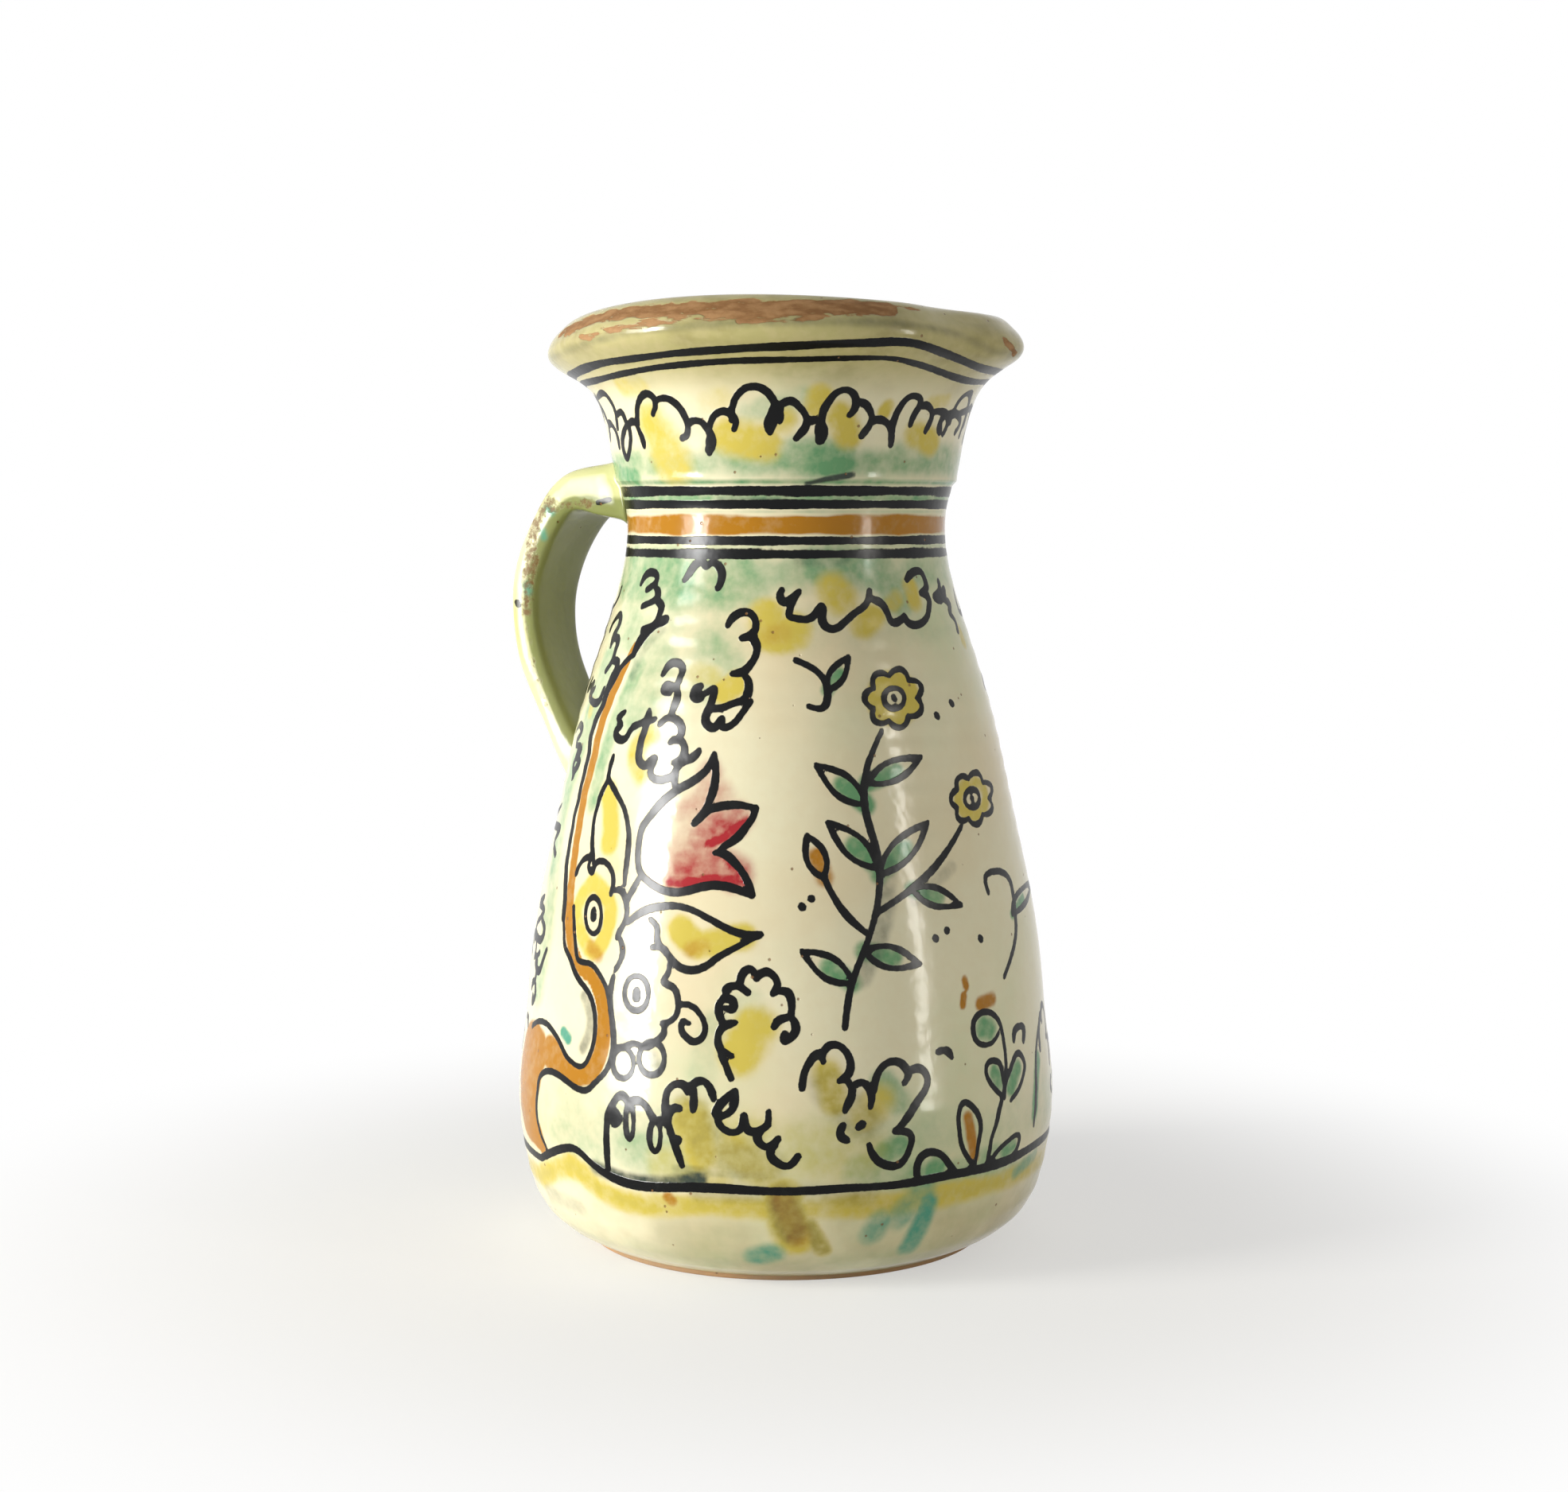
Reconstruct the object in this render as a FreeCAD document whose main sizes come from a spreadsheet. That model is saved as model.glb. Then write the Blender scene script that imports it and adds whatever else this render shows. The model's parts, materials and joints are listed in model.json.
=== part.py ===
import FreeCAD, Part
import math
import os

import Sketcher
from FreeCAD import Placement, Vector

# A one-litre glazed earthenware jug, thrown on the wheel, with a pulled pouring lip
# and a pulled strap handle. It stands on the XY plane with its axis on Z. The lip
# points along +X and the handle along -X. Every length is in millimetres, and the
# radii and heights of the wall are measured over the glaze.

SIZES = {
    "foot_radius": 46.2,
    "foot_bare_height": 1.2,
    "foot_edge": 0.4,
    "belly_radius": 61.7,
    "belly_height": 36.0,
    "neck_radius": 36.3,
    "shoulder_rise": 128.0,
    "ledge_radius": 37.9,
    "ledge_rise": 7.8,
    "ledge_step": 0.9,
    "rim_radius": 53.9,
    "rim_rise": 31.0,
    "crest_radius": 47.0,
    "crest_rise": 7.0,
    "throat_radius": 43.0,
    "throat_drop": 5.0,
    "wall_thickness": 5.3,
    "floor_thickness": 7.5,
    "floor_flat_radius": 37.0,
    "glaze_coat": 0.5,
    "worn_outside_drop": 4.4,
    "worn_inside_drop": 1.2,
    "spout_reach": 1.8,
    "spout_pinch": 1.3,
    "spout_dip": 0.5,
    "saddle_rise": 1.4,
    "rim_tilt": 1.0,
    "spout_shape_drop": 13.0,
    "strap_width": 20.0,
    "strap_thickness": 5.6,
    "handle_root_rise": 6.3,
    "handle_reach_drop": 25.8,
    "handle_stand_out": 24.4,
    "handle_drop": 68.3,
    "handle_tail_depth": 6.0,
    "slip_spread": 1.2,
    "core_top_rise": 10.0,
}

# Outline points between two places of the wall, as shares of the way from the first to
# the second: across in radius, then up in height.
HEEL_SHARES = [(0.0, 0.0), (0.19, 0.04), (0.44, 0.11), (0.63, 0.195), (0.8, 0.34), (0.915, 0.54)]
FLANK_SHARES = [
    (0.0, 0.0),
    (0.063, 0.109),
    (0.1, 0.188),
    (0.185, 0.313),
    (0.3, 0.422),
    (0.42, 0.531),
    (0.563, 0.656),
    (0.705, 0.75),
    (0.835, 0.828),
    (0.949, 0.906),
    (0.992, 0.953),
]
NECK_SHARES = [(0.0, 0.0), (0.42, 0.58), (0.82, 0.88), (1.0, 1.0)]
FLARE_SHARES = [
    (0.0, 0.0),
    (0.01, 0.03),
    (0.036, 0.116),
    (0.106, 0.32),
    (0.212, 0.524),
    (0.331, 0.66),
    (0.51, 0.762),
    (0.781, 0.864),
    (0.94, 0.932),
]
RIM_SHARES = [(0.0, 0.0), (0.087, 0.274), (0.348, 0.603), (0.7, 0.89)]
CREST_SHARES = [(0.0, 0.0), (0.5, 0.1), (0.87, 0.45)]
THROAT_SHARES = [(0.0, 0.0), (0.12, 0.1), (0.36, 0.28), (0.62, 0.52), (0.85, 0.78)]
BASIN_SHARES = [(0.03, 0.3), (0.12, 0.6), (0.35, 0.86), (0.65, 0.97), (1.0, 1.0)]

# Angles of the pouring lip, in degrees either side of +X.
SPOUT_TIP_SPAN = 26.0
SPOUT_PINCH_ANGLE = 20.0
SPOUT_PINCH_SPAN = 16.0
SPOUT_DIP_SPAN = 36.0

# The strap's middle line, as shares of the way from the neck out to the furthest reach
# and down to it, and then of the way from there in and down to the tail.
UPPER_PATH_SHARES = [
    (-0.12, 0.0),
    (0.1, -0.01),
    (0.3, -0.025),
    (0.49, -0.02),
    (0.63, 0.095),
    (0.72, 0.22),
    (0.865, 0.485),
    (0.96, 0.75),
    (1.0, 1.0),
]
LOWER_PATH_SHARES = [
    (0.04, 0.18),
    (0.125, 0.335),
    (0.21, 0.43),
    (0.37, 0.59),
    (0.5, 0.69),
    (0.61, 0.78),
    (0.79, 0.9),
    (1.0, 1.0),
]
# How wide and how thick the strap is at those points, as shares of its width and thickness.
UPPER_WIDTH_SHARES = [1.3, 1.27, 1.23, 1.18, 1.14, 1.11, 1.07, 1.03, 1.0]
LOWER_WIDTH_SHARES = [0.97, 0.94, 0.93, 0.92, 0.93, 0.95, 0.97, 1.0]
UPPER_THICKNESS_SHARES = [1.6, 1.54, 1.4, 1.25, 1.14, 1.08, 1.03, 1.0, 1.0]
LOWER_THICKNESS_SHARES = [0.98, 0.96, 0.94, 0.9, 0.88, 0.85, 0.85, 0.85]
# A quarter of the strap's section: across and through, as shares of the half width and the
# half thickness.
SECTION_SHARES = [(1.02, 0.0), (1.01, 0.6), (0.94, 0.99), (0.78, 1.06), (0.5, 1.06), (0.2, 1.05)]
# How far the slip stands out round each end of the strap, as shares of its full spread, and
# how many spans of the strap's net it covers there.
UPPER_SLIP_SHARES = [1.0, 1.0, 0.6, 0.3, 0.1]
LOWER_SLIP_SHARES = [0.1, 0.3, 0.5, 0.6]
SLIP_SPANS = 1

WIDTH_SHARES = UPPER_WIDTH_SHARES + LOWER_WIDTH_SHARES
THICKNESS_SHARES = UPPER_THICKNESS_SHARES + LOWER_THICKNESS_SHARES

RING_POINTS = 60
DEGREE = 3
SKIN_BANDS = 5
SEARCH_STEPS = 400
HALVINGS = 60


class Sizes:
    """The sizes in the sheet, read back by name."""

    def __init__(self, sheet):
        for name in SIZES:
            setattr(self, name, float(sheet.get(name)))
        self.neck_height = self.belly_height + self.shoulder_rise
        self.ledge_height = self.neck_height + self.ledge_rise
        self.rim_height = self.ledge_height + self.rim_rise
        self.crest_height = self.rim_height + self.crest_rise
        self.core_top = self.ledge_height + self.core_top_rise
        self.root_height = self.neck_height + self.handle_root_rise
        self.reach_height = self.root_height - self.handle_reach_drop
        self.tail_height = self.root_height - self.handle_drop


def make_sheet(doc):
    """Writes the sizes to a spreadsheet, one row each, with the name as the alias."""
    sheet = doc.addObject("Spreadsheet::Sheet", "Sizes")
    for row, (name, value) in enumerate(SIZES.items(), start=1):
        sheet.set(f"A{row}", name)
        sheet.set(f"B{row}", str(value))
        sheet.setAlias(f"B{row}", name)
    doc.recompute()
    return sheet


def between(start, end, shares):
    """Outline points at the given shares of the way from start to end."""
    points = []
    for across, up in shares:
        radius = start[0] + (end[0] - start[0]) * across
        height = start[1] + (end[1] - start[1]) * up
        points.append((radius, height))
    return points


def wall_outline(size):
    """The wall's outline as radius and height, from the foot over the rim to the floor."""
    foot = (size.foot_radius, size.foot_bare_height)
    belly = (size.belly_radius, size.belly_height)
    neck = (size.neck_radius, size.neck_height)
    ledge = (size.ledge_radius, size.ledge_height)
    collar = (size.ledge_radius + size.ledge_step, size.ledge_height + size.ledge_step)
    rim = (size.rim_radius, size.rim_height)
    crest = (size.crest_radius, size.crest_height)
    throat = (size.throat_radius, size.crest_height - size.throat_drop)
    inner_neck = (size.neck_radius - size.wall_thickness, size.neck_height)
    inner_belly = (size.belly_radius - size.wall_thickness, size.belly_height)
    floor = (size.floor_flat_radius, size.floor_thickness)
    outline = between(foot, belly, HEEL_SHARES)
    outline += between(belly, neck, FLANK_SHARES)
    outline += between(neck, ledge, NECK_SHARES)
    outline += between(collar, rim, FLARE_SHARES)
    outline += between(rim, crest, RIM_SHARES)
    outline += between(crest, throat, CREST_SHARES)
    outline += between(throat, inner_neck, THROAT_SHARES)
    outline.append(inner_neck)
    outline += reversed(between(inner_belly, inner_neck, FLANK_SHARES))
    outline += between(inner_belly, floor, BASIN_SHARES)
    return outline


def outline_curve(size, inset):
    """A smooth curve along the wall's outline, moved into the wall by the inset."""
    drawn = Part.BSplineCurve()
    drawn.interpolate(Points=[Vector(radius, 0, height) for radius, height in wall_outline(size)])
    knots = drawn.getKnots()
    middles = [(low + high) / 2 for low, high in zip(knots, knots[1:])]
    stations = sorted(knots + middles)
    points = []
    for station in stations:
        point = drawn.value(station)
        along = drawn.tangent(station)[0]
        points.append(point + Vector(-along.z, 0, along.x) * inset)
    curve = Part.BSplineCurve()
    curve.interpolate(Points=points, Parameters=stations)
    return curve


def swell(degrees, centre, span):
    """A smooth bump over the angles within the span of the centre: 1 there and 0 outside."""
    share = (degrees - centre) / span
    if abs(share) >= 1:
        return 0.0
    return (1 + math.cos(math.pi * share)) / 2


def lip_weight(size, height):
    """How much of the pouring lip's shape the wall has at this height, from 0 to 1."""
    share = (height - size.rim_height + size.spout_shape_drop) / size.spout_shape_drop
    share = min(1.0, max(0.0, share))
    return share * share * (3 - 2 * share)


def wall_ring(size, radius, height):
    """The control points of the wall all round at one height, shaped by the pouring lip."""
    step = 2 * math.pi / RING_POINTS
    fullness = 3 / (2 + math.cos(step))
    weight = lip_weight(size, height)
    ring = []
    for index in range(RING_POINTS):
        turn = index * step
        degrees = abs((math.degrees(turn) + 180) % 360 - 180)
        reach = size.spout_reach * swell(degrees, 0, SPOUT_TIP_SPAN)
        pinch = size.spout_pinch * swell(degrees, SPOUT_PINCH_ANGLE, SPOUT_PINCH_SPAN)
        dip = size.spout_dip * swell(degrees, 0, SPOUT_DIP_SPAN)
        rise = size.rim_tilt * math.cos(turn) - size.saddle_rise * math.cos(2 * turn)
        out = (radius + weight * (reach - pinch)) * fullness
        up = height + weight * (rise - dip)
        ring.append(Vector(out * math.cos(turn), out * math.sin(turn), up))
    return ring


def wall_skin(size, inset):
    """The wall's whole surface, smooth round the axis and along the outline."""
    curve = outline_curve(size, inset)
    rings = [wall_ring(size, pole.x, pole.z) for pole in curve.getPoles()]
    return smooth_net(rings, curve.getKnots(), curve.getMultiplicities())


def smooth_net(rings, long_knots, long_multiplicities):
    """A smooth surface over closed rings of control points."""
    count = len(rings[0])
    lines = [list(line) for line in zip(*rings)]
    surface = Part.BSplineSurface()
    surface.buildFromPolesMultsKnots(
        lines,
        [1] * (count + 1),
        long_multiplicities,
        list(range(count + 1)),
        long_knots,
        True,
        False,
        DEGREE,
        DEGREE,
    )
    return surface


def band_face(surface, start, end):
    """The face of a net between two places along its length."""
    around_start, around_end = surface.bounds()[:2]
    return surface.toShape(around_start, around_end, start, end)


def skin_bands(surface, start, end):
    """A wall skin between two places along its length, as a stack of band faces."""
    stops = [start + (end - start) * step / SKIN_BANDS for step in range(SKIN_BANDS + 1)]
    return [band_face(surface, low, high) for low, high in zip(stops, stops[1:])]


def end_edges(face):
    """The two closed edges of a band face, at its start and its end."""
    return [edge for edge in face.Edges if edge.isClosed()]


def flat_cap(edge):
    """The flat face inside a closed edge."""
    return Part.Face(Part.Wire(edge))


def closed_solid(faces):
    """A solid inside faces that meet along their edges."""
    shell = Part.Shell(faces)
    shell.sewShape()
    solid = Part.Solid(shell)
    if solid.Volume < 0:
        solid.reverse()
    return solid


def capped_solid(faces):
    """A solid inside a stack of band faces, closed by a flat face across each end."""
    start = end_edges(faces[0])[0]
    end = end_edges(faces[-1])[1]
    return closed_solid(faces + [flat_cap(start), flat_cap(end)])


def coat_solid(outer, inner, start, end, reaches_floor):
    """The coat between two skins from one place to another, and over the floor if it gets there."""
    outer_faces = skin_bands(outer, start, end)
    inner_faces = skin_bands(inner, start, end)
    outer_start = end_edges(outer_faces[0])[0]
    inner_start = end_edges(inner_faces[0])[0]
    outer_end = end_edges(outer_faces[-1])[1]
    inner_end = end_edges(inner_faces[-1])[1]
    faces = outer_faces + inner_faces + [Part.makeRuledSurface(outer_start, inner_start)]
    if reaches_floor:
        faces += [flat_cap(outer_end), flat_cap(inner_end)]
    else:
        faces.append(Part.makeRuledSurface(outer_end, inner_end))
    return closed_solid(faces)


def side_point(surface, place):
    """The point of a wall skin above +Y at one place along its length."""
    around_start, around_end = surface.bounds()[:2]
    return surface.value(around_start + (around_end - around_start) / 4, place)


def crest_place(surface):
    """Where along its length a wall skin is highest."""
    start, end = surface.bounds()[2:]
    places = [start + (end - start) * step / SEARCH_STEPS for step in range(SEARCH_STEPS + 1)]
    return max(places, key=lambda place: side_point(surface, place).z)


def outside_place(surface, height):
    """Where along its length a wall skin reaches a height on the way up outside."""
    low = surface.bounds()[2]
    high = crest_place(surface)
    for _ in range(HALVINGS):
        middle = (low + high) / 2
        if side_point(surface, middle).z < height:
            low = middle
        else:
            high = middle
    return low


def inside_place(surface, height):
    """Where along its length a wall skin reaches a height on the way down inside."""
    low = crest_place(surface)
    high = surface.bounds()[3]
    for _ in range(HALVINGS):
        middle = (low + high) / 2
        if side_point(surface, middle).z > height:
            low = middle
        else:
            high = middle
    return low


def core_solid(size, skin):
    """The wall's outer form filled to the axis, from the foot to just above the handle's root."""
    return capped_solid([band_face(skin, skin.bounds()[2], outside_place(skin, size.core_top))])


def wall_radius(skin, height):
    """The outside radius of a wall skin at one height below the pouring lip."""
    point = side_point(skin, outside_place(skin, height))
    return math.hypot(point.x, point.y)


def strap_path(size, skin):
    """The strap's middle line as points in the XZ plane, from inside the neck to the tail."""
    neck = (size.neck_radius, size.root_height)
    reach = (wall_radius(skin, size.reach_height) + size.handle_stand_out, size.reach_height)
    tail = (wall_radius(skin, size.tail_height) - size.handle_tail_depth, size.tail_height)
    points = between(neck, reach, UPPER_PATH_SHARES) + between(reach, tail, LOWER_PATH_SHARES)
    curve = Part.BSplineCurve()
    curve.interpolate(Points=[Vector(-radius, 0, height) for radius, height in points])
    return curve


def strap_section():
    """The strap's section as control points: across and through, as shares."""
    middle = (0.0, SECTION_SHARES[-1][1])
    mirrored = [(-across, through) for across, through in reversed(SECTION_SHARES)]
    outer_half = SECTION_SHARES + [middle] + mirrored
    inner_half = [(-across, -through) for across, through in outer_half[1:-1]]
    return outer_half + inner_half


def strap_net(size, path, margins):
    """A net round the strap's middle line, with a margin for each of its points."""
    rings = []
    for place, wide, thick, margin in zip(path.getKnots(), WIDTH_SHARES, THICKNESS_SHARES, margins):
        centre = path.value(place)
        along = path.tangent(place)[0]
        outward = Vector(-along.z, 0, along.x)
        half_width = size.strap_width * wide / 2 + margin
        half_thickness = size.strap_thickness * thick / 2 + margin
        ring = []
        for across, through in strap_section():
            offset = Vector(0, half_width * across, 0) + outward * (half_thickness * through)
            ring.append(centre + offset)
        rings.append(ring)
    long_knots = list(range(len(rings) - DEGREE + 1))
    multiplicities = [DEGREE + 1] + [1] * (len(long_knots) - 2) + [DEGREE + 1]
    return smooth_net(rings, long_knots, multiplicities)


def slip_margins(size, upper_shares, lower_shares):
    """How far the slip stands out at each point of the strap's path."""
    bare = [0.0] * (len(WIDTH_SHARES) - len(upper_shares) - len(lower_shares))
    return [size.slip_spread * share for share in upper_shares + bare + lower_shares]


def add_form(doc, name, shape):
    """A document object that holds a form made from the sizes in the sheet."""
    form = doc.addObject("Part::Feature", name)
    form.Shape = shape
    form.Placement = Placement()
    return form


def add_cut(doc, name, base, tool):
    """A document object that is the base with the tool taken away."""
    cut = doc.addObject("Part::Cut", name)
    cut.Base = base
    cut.Tool = tool
    doc.recompute()
    return cut


def add_union(doc, name, shapes):
    """A document object that joins several others."""
    union = doc.addObject("Part::MultiFuse", name)
    union.Shapes = shapes
    doc.recompute()
    return union


def add_foot_disc(doc):
    """The bare disc of clay that the jug stands on, cut flat by the wire, with its edge wiped."""
    body = doc.addObject("PartDesign::Body", "foot_disc")
    sketch = body.newObject("Sketcher::SketchObject", "foot_circle")
    ground = [plane for plane in body.Origin.OriginFeatures if plane.Role == "XY_Plane"]
    sketch.AttachmentSupport = (ground[0], [""])
    sketch.MapMode = "FlatFace"
    circle = sketch.addGeometry(Part.Circle())
    sketch.addConstraint(Sketcher.Constraint("Coincident", circle, 3, -1, 1))
    radius = sketch.addConstraint(Sketcher.Constraint("Radius", circle, SIZES["foot_radius"]))
    sketch.setExpression(f"Constraints[{radius}]", "Sizes.foot_radius - Sizes.glaze_coat")
    pad = body.newObject("PartDesign::Pad", "foot_pad")
    pad.Profile = sketch
    pad.setExpression("Length", "Sizes.foot_bare_height + Sizes.floor_thickness / 2")
    doc.recompute()
    lowest = min(range(len(pad.Shape.Edges)), key=lambda index: edge_top(pad.Shape.Edges[index]))
    wiped = body.newObject("PartDesign::Fillet", "foot_edge_wiped")
    wiped.Base = (pad, [f"Edge{lowest + 1}"])
    wiped.setExpression("Radius", "Sizes.foot_edge")
    doc.recompute()
    return body


def edge_top(edge):
    """How high an edge reaches."""
    return edge.BoundBox.ZMax


def add_wall(doc, clay):
    """The thrown wall with its floor and its pulled lip, on its bare foot."""
    start, end = clay.bounds()[2:]
    form = add_form(doc, "wall_form", capped_solid(skin_bands(clay, start, end)))
    return add_union(doc, "thrown_body", [form, add_foot_disc(doc)])


def add_slips(doc, size, path):
    """The forms of the slip round the two ends of the strap, still with the strap inside."""
    upper_net = strap_net(size, path, slip_margins(size, UPPER_SLIP_SHARES, []))
    lower_net = strap_net(size, path, slip_margins(size, [], LOWER_SLIP_SHARES))
    first, last = upper_net.bounds()[2:]
    upper = capped_solid([band_face(upper_net, first, first + SLIP_SPANS)])
    lower = capped_solid([band_face(lower_net, last - SLIP_SPANS, last)])
    return add_form(doc, "upper_slip_form", upper), add_form(doc, "lower_slip_form", lower)


def build(doc):
    """Makes every piece and returns the ones that are written to files."""
    size = Sizes(make_sheet(doc))
    clay = wall_skin(size, size.glaze_coat)
    glaze = wall_skin(size, 0.0)
    body = add_wall(doc, clay)
    clay_core = add_form(doc, "clay_core", core_solid(size, clay))
    glazed_core = add_form(doc, "glazed_core", core_solid(size, glaze))

    path = strap_path(size, glaze)
    strap_skin = strap_net(size, path, slip_margins(size, [], []))
    along = strap_skin.bounds()[2:]
    strap = add_form(doc, "strap_form", capped_solid([band_face(strap_skin, *along)]))
    handle = add_cut(doc, "pulled_handle", strap, clay_core)

    upper_slip, lower_slip = add_slips(doc, size, path)
    strap_and_wall = add_union(doc, "strap_and_wall", [strap, clay_core])
    upper_lute = add_cut(doc, "upper_handle_lute", upper_slip, strap_and_wall)
    lower_lute = add_cut(doc, "lower_handle_lute", lower_slip, strap_and_wall)

    highest = size.crest_height + size.saddle_rise
    foot_place = glaze.bounds()[2]
    floor_place = glaze.bounds()[3]
    worn_outside = outside_place(glaze, highest - size.worn_outside_drop)
    worn_inside = inside_place(glaze, highest - size.worn_inside_drop)
    outer_coat = add_form(doc, "outer_coat", coat_solid(glaze, clay, foot_place, worn_outside, False))
    joined_handle = add_union(doc, "joined_handle", [strap, upper_slip, lower_slip])
    outside = add_cut(doc, "outside_glaze", outer_coat, joined_handle)
    inside = add_form(doc, "inside_glaze", coat_solid(glaze, clay, worn_inside, floor_place, True))

    slips = slip_margins(size, UPPER_SLIP_SHARES, LOWER_SLIP_SHARES)
    coated_net = strap_net(size, path, [size.glaze_coat + slip for slip in slips])
    coated_strap = add_form(doc, "coated_strap", capped_solid([band_face(coated_net, *along)]))
    under_coat = add_union(doc, "under_coat", [joined_handle, glazed_core])
    handle_glaze = add_cut(doc, "handle_glaze", coated_strap, under_coat)
    return [body, handle, upper_lute, lower_lute, outside, inside, handle_glaze]


def check(doc, pieces):
    """Stops if an object has failed or a piece isn't a sound solid."""
    for thing in doc.Objects:
        if "Invalid" in thing.State or "Error" in thing.State:
            raise RuntimeError(f"{thing.Name} has failed: {thing.State}")
    for piece in pieces:
        shape = piece.Shape
        if shape.isNull() or not shape.isValid() or len(shape.Solids) != 1:
            raise RuntimeError(f"{piece.Label} isn't one sound solid")


def main():
    doc = FreeCAD.newDocument("jug")
    pieces = build(doc)
    for piece in pieces:
        piece.Label = piece.Name
    doc.recompute()
    check(doc, pieces)
    os.makedirs("parts", exist_ok=True)
    for piece in pieces:
        piece.Shape.exportStep(f"parts/{piece.Label}.step")
        print(f"{piece.Label}: {piece.Shape.Volume:.0f} mm3")


main()
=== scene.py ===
import json
import math

import bpy
import numpy as np
from bpy.props import FloatProperty, FloatVectorProperty, PointerProperty
from mathutils import Matrix

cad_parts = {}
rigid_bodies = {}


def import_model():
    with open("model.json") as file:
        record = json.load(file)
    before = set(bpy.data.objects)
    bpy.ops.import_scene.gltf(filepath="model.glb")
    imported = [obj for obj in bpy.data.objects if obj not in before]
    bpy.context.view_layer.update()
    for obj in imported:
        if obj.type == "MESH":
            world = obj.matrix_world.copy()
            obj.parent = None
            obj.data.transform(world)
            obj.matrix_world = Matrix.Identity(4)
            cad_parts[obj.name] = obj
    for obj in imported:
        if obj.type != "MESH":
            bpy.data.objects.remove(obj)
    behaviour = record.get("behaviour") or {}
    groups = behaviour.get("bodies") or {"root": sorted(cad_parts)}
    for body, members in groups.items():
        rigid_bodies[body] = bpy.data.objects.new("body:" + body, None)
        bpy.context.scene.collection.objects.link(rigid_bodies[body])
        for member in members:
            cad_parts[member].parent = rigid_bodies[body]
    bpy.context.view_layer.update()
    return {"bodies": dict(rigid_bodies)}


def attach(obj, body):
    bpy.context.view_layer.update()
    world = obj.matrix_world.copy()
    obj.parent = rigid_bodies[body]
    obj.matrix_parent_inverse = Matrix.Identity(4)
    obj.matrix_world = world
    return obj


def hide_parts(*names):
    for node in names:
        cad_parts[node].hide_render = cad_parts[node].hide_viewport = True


bl_info = {
    "name": "Painted Jug",
    "version": (1, 0, 0),
    "blender": (4, 5, 0),
    "location": "View3D > Sidebar > Jug",
    "description": "Glazes and paints an earthenware jug and sets it in a studio",
    "category": "Object",
}

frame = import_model()
BODY = next(iter(frame["bodies"]))

# The wall's outline between two of its places, as shares of the way across and then up.
HEEL_SHARES = [(0.0, 0.0), (0.19, 0.04), (0.44, 0.11), (0.63, 0.195), (0.8, 0.34), (0.915, 0.54)]
FLANK_SHARES = [
    (0.0, 0.0), (0.063, 0.109), (0.1, 0.188), (0.185, 0.313), (0.3, 0.422), (0.42, 0.531),
    (0.563, 0.656), (0.705, 0.75), (0.835, 0.828), (0.949, 0.906), (0.992, 0.953),
]
NECK_SHARES = [(0.0, 0.0), (0.42, 0.58), (0.82, 0.88), (1.0, 1.0)]
FLARE_SHARES = [
    (0.0, 0.0), (0.01, 0.03), (0.036, 0.116), (0.106, 0.32), (0.212, 0.524), (0.331, 0.66),
    (0.51, 0.762), (0.781, 0.864), (0.94, 0.932),
]
RIM_SHARES = [(0.0, 0.0), (0.087, 0.274), (0.348, 0.603), (0.7, 0.89)]
CREST_SHARES = [(0.0, 0.0), (0.5, 0.1), (0.87, 0.45)]
THROAT_SHARES = [(0.0, 0.0), (0.12, 0.1), (0.36, 0.28), (0.62, 0.52), (0.85, 0.78)]
BASIN_SHARES = [(0.03, 0.3), (0.12, 0.6), (0.35, 0.86), (0.65, 0.97), (1.0, 1.0)]
CURVE_PARTS = 24

# Half the angle that each part of the pouring lip takes up, in degrees.
SPOUT_TIP_SPAN = 26.0
SPOUT_PINCH_ANGLE = 20.0
SPOUT_PINCH_SPAN = 16.0
SPOUT_DIP_SPAN = 36.0

# The strap's middle line, as shares from the neck to the furthest reach, and on to the tail.
UPPER_PATH_SHARES = [
    (-0.12, 0.0), (0.1, -0.01), (0.3, -0.025), (0.49, -0.02), (0.63, 0.095), (0.72, 0.22),
    (0.865, 0.485), (0.96, 0.75), (1.0, 1.0),
]
LOWER_PATH_SHARES = [
    (0.04, 0.18), (0.125, 0.335), (0.21, 0.43), (0.37, 0.59), (0.5, 0.69), (0.61, 0.78),
    (0.79, 0.9), (1.0, 1.0),
]
# How wide, how thick and how far swollen by slip the strap is at each of those places.
WIDTH_SHARES = [
    1.3, 1.27, 1.23, 1.18, 1.14, 1.11, 1.07, 1.03, 1.0,
    0.97, 0.94, 0.93, 0.92, 0.93, 0.95, 0.97, 1.0,
]
THICKNESS_SHARES = [
    1.6, 1.54, 1.4, 1.25, 1.14, 1.08, 1.03, 1.0, 1.0,
    0.98, 0.96, 0.94, 0.9, 0.88, 0.85, 0.85, 0.85,
]
SLIP_SHARES = [
    1.0, 1.0, 0.6, 0.3, 0.1, 0.0, 0.0, 0.0, 0.0,
    0.0, 0.0, 0.0, 0.0, 0.1, 0.3, 0.5, 0.6,
]
SECTION_SHARES = [(1.02, 0.0), (1.01, 0.6), (0.94, 0.99), (0.78, 1.06), (0.5, 1.06), (0.2, 1.05)]

# The painting. Every place is in pixels of the picture that the camera takes, across and then
# down, and a brush line is a run of such places.
PICTURE_WIDTH = 1971
PICTURE_HEIGHT = 1876
FRONT_COLUMN = 988

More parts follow.
